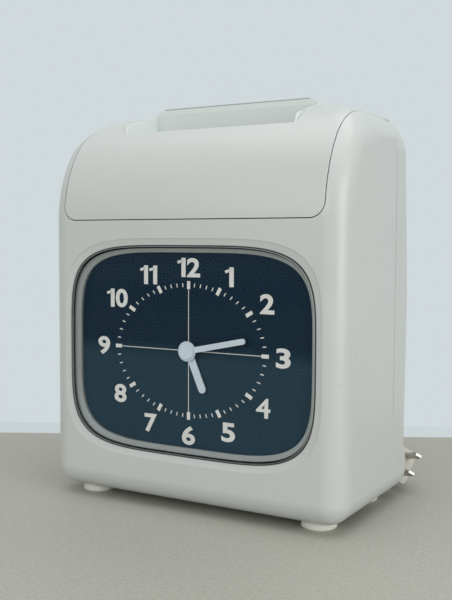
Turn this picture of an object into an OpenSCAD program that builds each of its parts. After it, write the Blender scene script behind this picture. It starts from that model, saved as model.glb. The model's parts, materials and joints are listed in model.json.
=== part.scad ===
// Electronic time clock: a card recorder with an analogue dial.
// Millimetres. +Z is up, the dial faces -Y, the origin is on the table under the middle of the case.
// Depths are measured from the front face towards the back.

/* [Case] */
// Width across the sides
body_w = 207; // [200:1:216]
// Depth from the front face to the back
body_d = 125; // [121:1:130]
// Height of the hood's crown above the table
body_h = 248; // [246:1:260]
// Wall thickness of the moulded covers
wall = 2.5; // [2:0.1:3]
// Radius of the front and bottom edges
edge_r = 14; // [12:1:16]
// Radius of the upright rear edges
rear_r = 20; // [16:1:24]
// Radius of the hood's side edges
top_r = 34; // [30:1:36]
// Depth over which the front face curves back into the crown
curve_d = 58; // [56:1:62]
// Height over which the front face curves back into the crown
curve_h = 70; // [68:1:74]
// Radius of the crown's rear edge
crown_r = 28; // [26:1:30]
// Step of the back towards its bottom edge
back_step = 8; // [4:1:10]
// Depth of the joint between the case and the rear cover
seam_d = 85; // [80:1:88]
// Radius of the arc that bounds the base below the rear cover
skirt_r = 92; // [90:1:94]
// How far the sides draw in at the rear joint
waist_in = 0.6; // [0.4:0.1:1.6]
// Gap at every parting line
parting = 0.6; // [0.4:0.1:0.8]

/* [Feet] */
// Height of a foot under the case
foot_h = 5; // [4:0.5:8]
// Diameter of a foot
foot_dia = 21; // [16:1:24]
// Spacing of the feet across the case
foot_span_x = 161; // [140:1:166]
// Depth of the front feet's centres
foot_d = 21.5; // [20:0.5:26]
// Spacing of the feet from front to back
foot_span_d = 66; // [56:1:70]

/* [Window and dial] */
// Width of the bevel round the window
window_w = 181.6; // [174:0.2:184]
// Height of the bevel round the window
window_h = 136.4; // [130:0.2:138]
// Width of the bevel
bevel_w = 4; // [3:0.5:5]
// Depth of the bevel
bevel_d = 1; // [0.6:0.1:1.4]
// Squareness of the window's outline
window_n = 4.5; // [4:0.1:5.5]
// Height of the dial's centre above the table
dial_z = 99.3; // [97:0.1:101]
// Depth of the dial's face behind the front face
dial_d = 7.5; // [7.5:0.1:9]
// Length of the minute hand from the centre
minute_len = 41; // [36:1:44]
// Length of the hour hand from the centre
hour_len = 27; // [22:1:32]
// Time that the hands show, in minutes after twelve
shown_minutes = 313; // [0:1:719]

/* [Hood] */
// Width of the hood between its parting lines
hood_w = 182; // [178:1:186]
// Height of the hood's lower edge above the table
hood_z = 179.2; // [178:0.2:182]
// Radius of the hood's lower corners
hood_corner_r = 9; // [8:1:18]
// Width of the card scoop
scoop_w = 124; // [110:1:130]
// Drop from the crown to the scoop's floor
scoop_drop = 13; // [11:0.5:15]
// Depth of the scoop's back wall
scoop_back_d = 63; // [61:1:66]
// Rise of the card guide above the crown
guide_rise = 6.7; // [4:0.1:8]
// Width of the card slot
slot_w = 90; // [88:1:94]
// Gap of the card slot and chute
slot_gap = 5.4; // [5:0.1:6]

/* [Mains cord] */
// Diameter of the cord
cord_dia = 6.4; // [6.4:0.1:6.4]
// Turns of the coil
coil_turns = 6.8; // [6.8:0.1:6.8]
// Radius of the coil's innermost turn
coil_in_r = 25.6; // [25.6:0.1:25.6]
// Step from one turn to the next, and from layer to layer
coil_step = 7.1; // [7.1:0.1:7.1]

/* [Hidden] */
$fn = 48;
form_fn = 32;
cavity_fn = 28;
eps = 0.01;
far = 400;
// Clearances
run_gap = 0.05;
slip_gap = 0.3;

// Case
front_y = -body_d / 2;
half_w = body_w / 2;
kink_rise = 105;
kink_z = foot_h + rear_r + kink_rise;
skirt_d = 26;
skirt_z = foot_h - 22;
waist_d = 45;
boss_r = 4.5;
boss_in = 8.5;
boss_x = half_w - boss_in;
boss_zs = [foot_h + 57, hood_z - 20];
boss_len = 20;
boss_d = seam_d - boss_len;
screw_r = 1.5;
screw_head_r = 2.6;
screw_head_h = 2.2;
screw_reach = 21;
screw_seat_d = seam_d + screw_reach;
// Ball inside the front curve at an angle, its radius growing towards the crown
function curve_ball(a) =
    let (
        r = edge_r + (top_r - edge_r) * max(0, a - 45) / 45,
        side = [-curve_h * cos(a), curve_d * sin(a)],
        out = side / norm(side)
    )
    [
        curve_d * (1 - cos(a)) - r * out[0],
        body_h - curve_h * (1 - sin(a)) - r * out[1],
        r
    ];
// Balls whose hull is the case, each [depth, height, radius]
form_balls = concat(
    [
        [edge_r, foot_h + edge_r, edge_r],
        [body_d - rear_r - back_step, foot_h + rear_r, rear_r],
        [body_d - rear_r, kink_z, rear_r],
        [body_d - crown_r, body_h - crown_r, crown_r]
    ],
    [for (a = [0:15:90]) curve_ball(a)]
);

// Hood, its scoop and its hinge
hinge_in = 27.5;
hinge_drop = 3.4;
hinge_d = body_d - hinge_in;
hinge_z = body_h - hinge_drop;
hood_back_gap = 3.5;
hood_back_d = hinge_d - hood_back_gap;
knuckle_r = 3.2;
knuckle_w = 24;
knuckle_gap = 0.3;
knuckle_count = 5;
hinge_half = knuckle_w * knuckle_count / 2;
pin_r = 1.25;
hood_ear_d = hinge_d + 3.3;
rear_edge_d = hinge_d + 4.7;
leaf_t = 1.2;
leaf_len = 12;
hood_leaf_d = hood_back_d - leaf_len;
rear_leaf_drop = 5.6;
rear_leaf_len = 7.5;
rear_leaf_z = hinge_z - rear_leaf_drop;
rear_leaf_d = rear_edge_d + rear_leaf_len;
ledge_t = 2.5;
scoop_z = body_h - scoop_drop;
guide_t = 2;
guide_chamfer = 9.2;
guide_fall = 3.2;
wing_t = 1.5;
wing_ds = [25.5, 28.5];
wing_h = 6;
slot_back_d = scoop_back_d - guide_t - 0.2;
slot_front_d = slot_back_d - slot_gap;

// Lock on the left cheek, its cam pointing up when unlocked
lock_d = 60;
lock_z = hood_z + 21;
lock_r = 8;
lock_plug_r = 5;
lock_in = 11.5;
cam_t = 1.6;
cam_len = 14;
cam_w = 6;
cam_x = -half_w + lock_in + 0.4;
cam_hub_x = cam_x + cam_t;
hook_xs = [cam_x - 0.2, cam_x + cam_t + 0.2];
hook_bar_ds = [lock_d - 24, lock_d - 19];
hook_arm_ds = [lock_d - 19, lock_d - 8];
hook_arm_zs = [lock_z - 10, lock_z - 5];

// Window stack, from the front face back
open_w = window_w - 2 * bevel_w;
open_h = window_h - 2 * bevel_w;
seal_t = 0.7;
seal_gap = 0.1;
lens_w = open_w - 2 * (seal_t + 2 * seal_gap);
lens_h = open_h - 2 * (seal_t + 2 * seal_gap);
lens_front_d = 0.4;
lens_t = 1.8;
lens_flange = 2.2;
lens_flange_t = 1.1;
bezel_front_d = wall + lens_flange_t;
bezel_lip = 3.6;
bezel_slope_d = 2;
dial_t = 1.2;
dial_w = window_w + 5;
dial_h = window_h + 3.6;
dial_corner_r = 14;
dial_boss_x = dial_w / 2 - 7;
dial_boss_z = dial_h / 2 - 8;
dial_boss_r = 4;

// Hands, from the dial forward
hour_angle = shown_minutes / 2;
minute_angle = shown_minutes * 6;
hand_t = 0.8;
hour_hand_d = dial_d - 2;
minute_hand_d = dial_d - 3.6;
cap_d = dial_d - 4.8;
cap_r = 5.2;
hour_hand_w = 5;
minute_hand_w = 3.5;
hand_boss_r = 4;
arbor_r = 1.5;
pipe_r = 2.5;

// Movement behind the dial
pressure_angle = 25;
gear_play = 0.05;
front_plate_d = dial_d + 10;
plate_t = 1.5;
rear_plate_d = front_plate_d + 10;
plate_half = 28;
pillar_off = 23;
pillar_r = 3;
motion_m = 0.5;
cannon_teeth = 12;
minute_teeth = 36;
stud_off = motion_m * (cannon_teeth + minute_teeth) / 2;
hour_teeth = 40;
minute_pinion_teeth = 10;
hour_m = 2 * stud_off / (hour_teeth + minute_pinion_teeth);
stud_r = 1;
centre_teeth = 40;
motor_teeth = 10;
drive_m = 0.75;
motor_off = drive_m * (centre_teeth + motor_teeth) / 2;
motor_r = 9;
motor_len = 12;
hour_wheel_d = dial_d + dial_t + 0.8;
hour_wheel_t = 2;
minute_wheel_d = hour_wheel_d + 3;
minute_wheel_t = 2;
centre_wheel_d = front_plate_d + plate_t + 2.5;
centre_wheel_t = 2;

// Chassis
chassis_x = half_w - 19.5;
sheet = 1.5;
chassis_in = chassis_x - sheet;
chassis_front_d = 36;
board_room = 23;
chassis_ds = [chassis_front_d, body_d - board_room];
chassis_z = foot_h + 7;
cross_top = hood_z - 49;
post_r = 4;
post_x = chassis_x - 13.5;
post_in = 10;
post_ds = [chassis_ds[0] + post_in, chassis_ds[1] - post_in];

// Control panel under the hood
panel_drop = 4.2;
panel_t = 2;
panel_lap = 4;
panel_zs = [hood_z - panel_drop - panel_t, hood_z - panel_drop];
panel_ds = [wall + slip_gap, chassis_ds[0] + panel_lap];

// Card chute
chute_t = 1.2;
chute_half = slot_w / 2 + 1.5;
chute_top = scoop_z - wall - 1.5;
chute_bottom = foot_h + 57;
chute_front_d = slot_front_d - chute_t;
ear_in = [30, 20];
ear_zs = [chute_bottom + ear_in[0], chute_top - ear_in[1]];
ear_h = 6;
print_window_h = 18;
platen_half_h = 6;
platen_t = 6;
print_z = (panel_zs[1] + scoop_z - wall) / 2;

// Card feed
card_d = (slot_front_d + slot_back_d) / 2;
feed_z = hood_z - 29;
feed_roller_r = 8;
pinch_roller_r = 6;
nip = 0.6;
feed_d = card_d + nip / 2 + feed_roller_r;
pinch_d = card_d - nip / 2 - pinch_roller_r;
roller_xs = [16, 30];
feed_shaft_r = 2.5;
pinch_shaft_r = 2;
bush_r = 4.5;
bush_len = 4;
feed_m = 0.8;
feed_teeth = 40;
feed_pinion_teeth = 12;
feed_off = feed_m * (feed_teeth + feed_pinion_teeth) / 2;
feed_gear_t = 3;
feed_gear_x = -chassis_x - 5;
feed_motor_r = 12;
feed_motor_len = 32;
feed_motor_shaft_r = 1;

// Printer
rod_r = 3;
rod_in = 3.5;
rod_d = chassis_ds[0] + rod_in;
rod_off = 11;
rod_zs = [print_z - rod_off, print_z + rod_off];
rod_land = 4;
chassis_top = rod_zs[1] + rod_r + rod_land;
screw_z = print_z;
lead_r = 2.5;
carriage_half = 14;
carriage_wall = 3;
carriage_ds = [rod_d - rod_r - carriage_wall, rod_d + rod_r + carriage_wall];
carriage_zs = [rod_zs[0] - rod_r - carriage_wall, rod_zs[1] + rod_r + carriage_wall];
head_half = 9;
head_nose = 4;
head_gap = 1.8;
head_d = chute_front_d - head_gap;
ribbon_t = 0.4;
ribbon_gap = 0.5;
ribbon_d = head_d + ribbon_gap;
ribbon_half_h = 6;
cassette_h = 12;
cassette_gap = 0.8;
cassette_zs = [panel_zs[0] - cassette_gap - cassette_h, panel_zs[0] - cassette_gap];
cassette_half = 54;
cassette_tray_t = 2;
screw_motor_r = 9;
screw_motor_len = 13;

// Setting buttons in the control panel
button_xs = [30, 46, 62];
button_d = 15;
button_r = 4;
button_stem_r = 2.5;
button_travel = 1;
button_lift = 1.6;
button_h = 4;
switch_h = 5;
board_post_off = 8;
switch_half = 3.5;
switch_top = panel_zs[0] - 6.5;
board_t = 1.6;

// Electronics behind the chute
standoff = 5;
main_board_d = chassis_ds[1] + standoff;
main_board_half = 66;
main_board_drop = 74;
main_board_zs = [cross_top - main_board_drop, feed_z - feed_motor_r - 2];
board_post_r = 3;
board_post_in = 6;
chip = [30, 22, 3];
chip_at = [-20, 30];
socket = [26, 12, 5];
socket_at = [24, 60];
cell_r = 8;
cell_h = 4;
cell_at = [-44, 22];
can_r = 4;
can_h = 7;
can_at = [22, 20];
can_pitch = 12;
core_w = 42;
core_h = 36;
core_t = 22;
core_x = -70;
core_gap = 6;
coil_edge = 8;
coil_bulge = [5, 3];

// Mains cord
relief_x = 50;
relief_z = foot_h + 25;
relief_stand = 2.5;
relief_pad_d = body_d - back_step + relief_stand;
relief_pad_r = 8;
relief_stem_r = 5;
relief_flange_r = 7.5;
relief_end_d = relief_pad_d + 24;
lead_points = [
    [relief_x, relief_end_d, relief_z], [relief_x, relief_end_d + 7.5, relief_z],
    [50, 158.6, 28.5], [50, 166, 25], [50, 174, 20.2],
    [50, 182, 15.7], [50, 190, 12.1], [50, 198, 10.5], [50, 206, 10.5]
];
tail_points = [
    [29.8, 169.6, 3.4], [37.3, 169.2, 3.4], [44.5, 166.9, 3.4], [50.9, 163.1, 3.5], [57.8, 158.2, 4.3]
];
plug_at = [94, 127, 15.8];
plug_turn = [-32, -14, -41];
plug_len = 26;
plug_boot = 14;
plug_w = 23;
plug_t = 15;
blade_pitch = 12.7;
blade_w = 6.35;
blade_t = 1.5;
blade_len = 17.5;
blade_hole_r = 1.5;
blade_hole_in = 5.2;

// Axis-aligned block from ranges across, from front to back, and up
module block(xs, ds, zs) {
    translate([xs[0], front_y + ds[0], zs[0]])
        cube([xs[1] - xs[0], ds[1] - ds[0], zs[1] - zs[0]]);
}

// Round bar across the case
module bar_x(r, xs, d, z) {
    translate([xs[0], front_y + d, z])
        rotate([0, 90, 0])
            cylinder(r = r, h = xs[1] - xs[0]);
}

// Round bar from front to back
module bar_y(r, ds, x, z) {
    translate([x, front_y + ds[0], z])
        rotate([-90, 0, 0])
            cylinder(r = r, h = ds[1] - ds[0]);
}

// Front view outline, pulled from one depth to another
module along_y(ds) {
    translate([0, front_y + ds[1], 0])
        rotate([90, 0, 0])
            linear_extrude(ds[1] - ds[0])
                children();
}

// Side view outline in depth and height, pulled across the case
module along_x(w) {
    translate([0, front_y, 0])
        rotate([90, 0, 90])
            translate([0, 0, -w / 2])
                linear_extrude(w)
                    children();
}

module both_sides() {
    children();
    mirror([1, 0, 0])
        children();
}

// Ball whose flats measure its radius in every axis
module ball(r, facets) {
    sphere(r / cos(180 / facets), $fn = facets);
}

// Rounded body of the case, drawn in by an inset and narrowed at each side
module body_form(inset, narrow) {
    hull() {
        for (b = form_balls)
            for (side = [-1, 1])
                translate([side * (half_w - narrow - b[2]), front_y + b[0], b[1]])
                    ball(b[2] - inset, inset > 0 ? cavity_fn : form_fn);
    }
}

// Window outline with bowed sides and round corners
function bowed(w, h) = [
    for (i = [0:71])
        let (c = cos(5 * i), s = sin(5 * i))
            [w / 2 * sign(c) * pow(abs(c), 2 / window_n), h / 2 * sign(s) * pow(abs(s), 2 / window_n)]
];

module window_shape(w, h) {
    translate([0, dial_z])
        polygon(bowed(w, h));
}

function arc(cx, cy, r, from, to) = [
    for (i = [0:8]) let (a = from + (to - from) * i / 8) [cx + r * cos(a), cy + r * sin(a)]
];

// Front view of the hood, grown by a gap
module hood_shape(grow) {
    w = hood_w / 2 + grow;
    r = hood_corner_r + grow;
    z = hood_z - grow;
    polygon(concat([[w, far], [-w, far]], arc(-w + r, z + r, r, 180, 270), arc(w - r, z + r, r, 270, 360)));
}

module skirt_circle(grow) {
    translate([skirt_d, skirt_z])
        circle(r = skirt_r + grow, $fn = 96);
}

// Gear outline with involute flanks
function roll_off(a) = tan(a) * 180 / PI - a;
function tooth_half(rho, r, base, teeth) =
    90 / teeth - gear_play / r * 180 / PI + roll_off(pressure_angle)
    - (rho > base ? roll_off(acos(base / rho)) : 0);

module gear_shape(teeth, m, turn = 0) {
    r = teeth * m / 2;
    base = r * cos(pressure_angle);
    root = r - 1.1 * m;
    tip = r + 0.8 * m;
    low = max(base, root);
    radii = [root, low, (low + r) / 2, r, (r + tip) / 2, tip];
    left = [for (rho = radii) [rho, -tooth_half(max(rho, low), r, base, teeth)]];
    right = [for (i = [len(radii) - 1:-1:0]) [radii[i], -left[i][1]]];
    polygon([
        for (k = [0:teeth - 1])
            for (p = concat(left, right))
                let (a = p[1] + turn + 360 * k / teeth)
                    [p[0] * cos(a), p[0] * sin(a)]
    ]);
}

module gear_y(teeth, m, ds, x, z, turn = 0) {
    translate([x, front_y + ds[0], z])
        rotate([-90, 0, 0])
            linear_extrude(ds[1] - ds[0])
                gear_shape(teeth, m, turn);
}

module gear_x(teeth, m, xs, d, z, turn = 0) {
    translate([xs[0], front_y + d, z])
        rotate([0, 90, 0])
            linear_extrude(xs[1] - xs[0])
                gear_shape(teeth, m, turn);
}

module front_case() {
    color("gainsboro")
        difference() {
            body_form(0, 0);
            difference() {
                body_form(wall, 0);
                dial_bosses();
                chassis_posts();
                both_sides()
                    case_bosses([boss_d, seam_d + 1]);
            }
            along_x(far)
                difference() {
                    translate([seam_d, -1])
                        square([far, far]);
                    skirt_circle(0);
                }
            along_y([-1, body_d + 1])
                hood_shape(parting);
            window_taper([0, bevel_d], [window_w, window_h], [open_w, open_h]);
            along_y([-1, wall + 1])
                window_shape(open_w, open_h);
            both_sides()
                waist_cut();
            for (x = [-1, 1], k = [0, 1])
                translate([x * foot_span_x / 2, front_y + foot_d + k * foot_span_d, 0])
                    cylinder(r = foot_stem_r + run_gap, h = chassis_z);
            both_sides()
                for (z = boss_zs)
                    bar_y(screw_r, [boss_d + 3, seam_d + 1], boss_x, z);
            for (x = [-1, 1], z = [-1, 1])
                bar_y(screw_r, [wall, dial_d + 1], x * dial_boss_x, dial_z + z * dial_boss_z);
            bar_x(lock_r + run_gap, [-half_w - 1, -half_w + 6], lock_d, lock_z);
        }
}

// Bosses on the side walls for the rear screws
module case_bosses(ds) {
    for (z = boss_zs) {
        bar_y(boss_r, ds, boss_x, z);
        block([boss_x, half_w - wall / 2], ds, [z - boss_r / 2, z + boss_r / 2]);
    }
}

// Bosses that carry the dial
module dial_bosses() {
    for (x = [-1, 1], z = [-1, 1])
        bar_y(dial_boss_r, [wall / 2, dial_d], x * dial_boss_x, dial_z + z * dial_boss_z);
}

// Posts on the floor that carry the chassis
module chassis_posts() {
    for (x = [-1, 1], d = post_ds)
        translate([x * post_x, front_y + d, foot_h + wall / 2])
            cylinder(r = post_r, h = chassis_z - foot_h - wall / 2);
}

// Tapered opening from a wide window outline down to a narrow one
module window_taper(ds, wide, narrow) {
    skin = 0.2;
    hull() {
        along_y([ds[0] - skin, ds[0]])
            window_shape(wide[0], wide[1]);
        along_y([ds[1], ds[1] + skin])
            window_shape(narrow[0], narrow[1]);
    }
}

// Shallow taper of a side wall towards the rear joint, above the base
module waist_cut() {
    difference() {
        linear_extrude(far)
            translate([half_w, front_y])
                polygon([[eps, waist_d], [5, waist_d], [5, seam_d + 1], [-waist_in, seam_d + 1]]);
        along_x(far)
            skirt_circle(0);
    }
}

module top_cover() {
    color("whitesmoke")
        difference() {
            intersection() {
                body_form(0, 0);
                along_y([-1, hood_ear_d])
                    hood_shape(0);
            }
            difference() {
                body_form(wall, 0);
                block([-scoop_w / 2 - wall, scoop_w / 2 + wall], [0, scoop_back_d + wall], [scoop_z - wall, far]);
                hood_hook();
            }
            block([-scoop_w / 2, scoop_w / 2], [-1, scoop_back_d], [scoop_z, far]);
            block([-slot_w / 2, slot_w / 2], [slot_front_d, slot_back_d], [scoop_z - wall - 1, far]);
            block([-hinge_half - 0.5, hinge_half + 0.5], [hood_back_d, body_d], [hood_z, far]);
        }
}

// Hook under the hood's left edge that the lock cam holds down
module hood_hook() {
    block(hook_xs, hook_bar_ds, [hook_arm_zs[0], far]);
    block(hook_xs, [hook_arm_ds[0] - eps, hook_arm_ds[1]], hook_arm_zs);
}

module card_guide() {
    top = body_h + guide_rise;
    half = scoop_w / 2 - slip_gap;
    color("darkgray")
        union() {
            along_y([scoop_back_d - guide_t, scoop_back_d])
                polygon([
                    [-half, scoop_z], [half, scoop_z], [half, top - guide_fall],
                    [half - guide_chamfer, top], [guide_chamfer - half, top], [-half, top - guide_fall]
                ]);
            both_sides()
                translate([half - wing_t / 2, 0, 0])
                    along_x(wing_t)
                        polygon([
                            [wing_ds[0], scoop_z], [scoop_back_d, scoop_z],
                            [scoop_back_d, top - guide_fall], [wing_ds[1], scoop_z + wing_h]
                        ]);
        }
}

module rear_cover() {
    pad_zs = [rear_leaf_z - ledge_t, rear_leaf_z];
    color("gainsboro")
        difference() {
            union() {
                difference() {
                    body_form(0, waist_in);
                    difference() {
                        body_form(wall, waist_in);
                        block([-hinge_half - 2, hinge_half + 2], [rear_edge_d, body_d], pad_zs);
                        both_sides()
                            case_bosses([seam_d, body_d]);
                    }
                }
                bar_y(relief_pad_r, [relief_pad_d - 6, relief_pad_d], relief_x, relief_z);
            }
            along_x(far)
                union() {
                    translate([-1, -1])
                        square([seam_d + 1 + parting, far]);
                    skirt_circle(parting);
                }
            along_y([0, rear_edge_d])
                hood_shape(parting);
            both_sides()
                for (z = boss_zs) {
                    bar_y(screw_r + 0.2, [seam_d, body_d + 1], boss_x, z);
                    bar_y(screw_head_r + slip_gap, [screw_seat_d, body_d + 1], boss_x, z);
                }
            bar_y(relief_stem_r + run_gap, [relief_pad_d - 12, relief_pad_d + 1], relief_x, relief_z);
            for (x = [-1, 1])
                wall_keyhole(x * keyhole_span / 2);
        }
}

// Keyhole that hangs the clock on a screw head
keyhole_span = 120;
keyhole_z = hood_z - 14;
keyhole_r = 5;
keyhole_slot_r = 2.5;
keyhole_rise = 10;
foot_stem_r = 4;

module wall_keyhole(x) {
    ds = [body_d - wall - 4, body_d + 1];
    bar_y(keyhole_r, ds, x, keyhole_z);
    bar_y(keyhole_slot_r, ds, x, keyhole_z + keyhole_rise);
    block([x - keyhole_slot_r, x + keyhole_slot_r], ds, [keyhole_z, keyhole_z + keyhole_rise]);
}

module feet() {
    r = foot_dia / 2;
    color("ivory")
        for (x = [-1, 1], k = [0, 1])
            translate([x * foot_span_x / 2, front_y + foot_d + k * foot_span_d, 0])
                union() {
                    rotate_extrude()
                        polygon([[0, 0], [r - 1, 0], [r, 1], [r, foot_h - 1.2], [r - 1.2, foot_h], [0, foot_h]]);
                    cylinder(r = foot_stem_r, h = foot_h + wall + 1);
                }
}

module case_screws() {
    color("silver")
        both_sides()
            for (z = boss_zs) {
                bar_y(screw_r - run_gap, [boss_d + 4, screw_seat_d], boss_x, z);
                bar_y(screw_head_r, [screw_seat_d, screw_seat_d + screw_head_h], boss_x, z);
            }
}

// Range across the case of one hinge knuckle
function knuckle_xs(k) =
    [-hinge_half + k * knuckle_w + knuckle_gap / 2, -hinge_half + (k + 1) * knuckle_w - knuckle_gap / 2];

module hood_leaf() {
    leaf_zs = [body_h - wall - leaf_t, body_h - wall];
    color("silver")
        difference() {
            union() {
                block([knuckle_xs(1)[0], knuckle_xs(3)[1]], [hood_leaf_d, hood_back_d], leaf_zs);
                for (k = [1, 3]) {
                    bar_x(knuckle_r, knuckle_xs(k), hinge_d, hinge_z);
                    block(knuckle_xs(k), [hood_back_d - eps, hinge_d], leaf_zs);
                }
            }
            bar_x(pin_r + run_gap, [-hinge_half, hinge_half], hinge_d, hinge_z);
        }
}

module rear_leaf() {
    color("silver")
        difference() {
            union() {
                block([-hinge_half, hinge_half], [hinge_d + 1, rear_leaf_d], [rear_leaf_z, rear_leaf_z + leaf_t]);
                for (k = [0, 2, 4]) {
                    bar_x(knuckle_r, knuckle_xs(k), hinge_d, hinge_z);
                    block(knuckle_xs(k), [hinge_d + 1, hinge_d + knuckle_r], [rear_leaf_z, hinge_z]);
                }
            }
            bar_x(pin_r, [-hinge_half - 1, hinge_half + 1], hinge_d, hinge_z);
        }
}

module hinge_pin() {
    color("dimgray")
        bar_x(pin_r, [-hinge_half, hinge_half], hinge_d, hinge_z);
}

module lock_body() {
    color("silver")
        difference() {
            bar_x(lock_r, [-half_w + 0.1, -half_w + lock_in], lock_d, lock_z);
            bar_x(lock_plug_r + run_gap, [-half_w - 1, -half_w + lock_in + 1], lock_d, lock_z);
        }
}

module lock_plug() {
    color("gray")
        difference() {
            union() {
                bar_x(lock_plug_r, [-half_w + 0.4, cam_x], lock_d, lock_z);
                bar_x(lock_plug_r / 2, [cam_x - eps, cam_hub_x + 1], lock_d, lock_z);
            }
            translate([-half_w, front_y + lock_d, lock_z])
                cube([6, 1.4, 7], center = true);
        }
}

module lock_cam() {
    color("gray")
        difference() {
            union() {
                bar_x(lock_plug_r, [cam_x, cam_hub_x], lock_d, lock_z);
                block([cam_x, cam_hub_x], [lock_d - cam_w / 2, lock_d + cam_w / 2], [lock_z, lock_z + cam_len]);
            }
            bar_x(lock_plug_r / 2, [cam_x - 1, cam_hub_x + 1], lock_d, lock_z);
        }
}

module window_lens() {
    flange_ds = [wall, wall + lens_flange_t];
    color([0.8, 0.86, 0.88, 0.35])
        difference() {
            union() {
                along_y([lens_front_d, flange_ds[1]])
                    window_shape(lens_w, lens_h);
                along_y(flange_ds)
                    window_shape(open_w + 2 * lens_flange, open_h + 2 * lens_flange);
            }
            along_y([lens_front_d + lens_t, flange_ds[1] + 1])
                window_shape(lens_w - 2, lens_h - 2);
        }
}

module lens_seal() {
    color("black")
        along_y([bevel_d, wall])
            difference() {
                window_shape(open_w - 2 * seal_gap, open_h - 2 * seal_gap);
                window_shape(open_w - 2 * seal_gap - 2 * seal_t, open_h - 2 * seal_gap - 2 * seal_t);
            }
}

module dial_bezel() {
    outer_w = open_w + 2 * lens_flange;
    outer_h = open_h + 2 * lens_flange;
    color("slategray")
        difference() {
            along_y([bezel_front_d, dial_d])
                window_shape(outer_w, outer_h);
            along_y([0, dial_d + 1])
                window_shape(lens_w - 2 * bezel_lip, lens_h - 2 * bezel_lip);
            window_taper(
                [bezel_front_d, bezel_front_d + bezel_slope_d],
                [lens_w - 2, lens_h - 2], [lens_w - 2 * bezel_lip, lens_h - 2 * bezel_lip]
            );
        }
}

module dial_plate() {
    x = dial_w / 2 - dial_corner_r;
    z = dial_h / 2 - dial_corner_r;
    color("midnightblue")
        difference() {
            along_y([dial_d, dial_d + dial_t])
                translate([0, dial_z])
                    polygon(concat(
                        arc(x, z, dial_corner_r, 0, 90), arc(-x, z, dial_corner_r, 90, 180),
                        arc(-x, -z, dial_corner_r, 180, 270), arc(x, -z, dial_corner_r, 270, 360)
                    ));
            bar_y(pipe_r + 0.5, [dial_d - 1, dial_d + dial_t + 1], 0, dial_z);
            for (sx = [-1, 1], sz = [-1, 1])
                bar_y(screw_r + 0.2, [0, dial_d + 4], sx * dial_boss_x, dial_z + sz * dial_boss_z);
        }
}

module dial_screws() {
    back = dial_d + dial_t;
    color("silver")
        for (sx = [-1, 1], sz = [-1, 1]) {
            bar_y(screw_r - run_gap, [wall + 1, back], sx * dial_boss_x, dial_z + sz * dial_boss_z);
            bar_y(screw_head_r, [back, back + screw_head_h], sx * dial_boss_x, dial_z + sz * dial_boss_z);
        }
}

// Round-tipped hand at a clock angle, bored for its arbor
module hand(length, width, bore_r, d, angle) {
    translate([0, 0, dial_z])
        rotate([0, angle, 0])
            along_y([d, d + hand_t])
                difference() {
                    union() {
                        translate([-width / 2, 0])
                            square([width, length - width / 2]);
                        translate([0, length - width / 2])
                            circle(r = width / 2);
                        circle(r = hand_boss_r);
                    }
                    circle(r = bore_r);
                }
}

module hour_hand() {
    color("lightsteelblue")
        hand(hour_len, hour_hand_w, pipe_r, hour_hand_d, hour_angle);
}

module minute_hand() {
    color("lightsteelblue")
        hand(minute_len, minute_hand_w, arbor_r, minute_hand_d, minute_angle);
}

module hand_cap() {
    h = minute_hand_d - cap_d;
    color("lightsteelblue")
        translate([0, front_y + minute_hand_d, dial_z])
            rotate([90, 0, 0])
                difference() {
                    rotate_extrude()
                        polygon([[0, 0], [cap_r, 0], [cap_r - 0.4, h / 2], [cap_r - 1.8, h - 0.15], [0, h]]);
                    translate([0, 0, -1])
                        cylinder(r = arbor_r, h = 1 + h / 2);
                }
}

module movement_frame() {
    plate = [-plate_half, plate_half];
    plate_zs = [dial_z - plate_half, dial_z + plate_half];
    color("darkgray")
        difference() {
            union() {
                block(plate, [front_plate_d, front_plate_d + plate_t], plate_zs);
                block(plate, [rear_plate_d, rear_plate_d + plate_t], plate_zs);
                for (x = [-1, 1], z = [-1, 1])
                    bar_y(
                        pillar_r, [dial_d + dial_t, rear_plate_d + eps],
                        x * pillar_off, dial_z + z * pillar_off
                    );
                bar_y(stud_r, [hour_wheel_d, front_plate_d + eps], stud_off, dial_z);
            }
            bar_y(arbor_r + run_gap, [front_plate_d - 1, rear_plate_d + plate_t + 1], 0, dial_z);
            bar_y(stud_r + run_gap, [front_plate_d - 1, rear_plate_d + plate_t + 1], 0, dial_z - motor_off);
        }
}

module minute_arbor() {
    color("gold")
        union() {
            bar_y(arbor_r, [minute_hand_d - 0.6, rear_plate_d + plate_t + 1], 0, dial_z);
            gear_y(cannon_teeth, motion_m, [minute_wheel_d - 0.2, minute_wheel_d + minute_wheel_t + 0.6], 0, dial_z);
        }
}

module centre_wheel() {
    ds = [centre_wheel_d, centre_wheel_d + centre_wheel_t];
    color("gold")
        difference() {
            gear_y(centre_teeth, drive_m, ds, 0, dial_z);
            bar_y(arbor_r, [ds[0] - 1, ds[1] + 1], 0, dial_z);
        }
}

module minute_wheel() {
    wheel_ds = [minute_wheel_d, minute_wheel_d + minute_wheel_t];
    color("ivory")
        difference() {
            union() {
                gear_y(minute_teeth, motion_m, wheel_ds, stud_off, dial_z, 180 / minute_teeth);
                gear_y(
                    minute_pinion_teeth, hour_m, [hour_wheel_d - 0.2, minute_wheel_d + eps],
                    stud_off, dial_z, 180 / minute_pinion_teeth
                );
            }
            bar_y(stud_r + run_gap, [hour_wheel_d - 1, wheel_ds[1] + 1], stud_off, dial_z);
        }
}

module hour_wheel() {
    ds = [hour_wheel_d, hour_wheel_d + hour_wheel_t];
    color("ivory")
        difference() {
            union() {
                gear_y(hour_teeth, hour_m, ds, 0, dial_z);
                bar_y(pipe_r, [hour_hand_d - 0.4, ds[1]], 0, dial_z);
            }
            bar_y(arbor_r + run_gap, [0, ds[1] + 1], 0, dial_z);
        }
}

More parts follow.
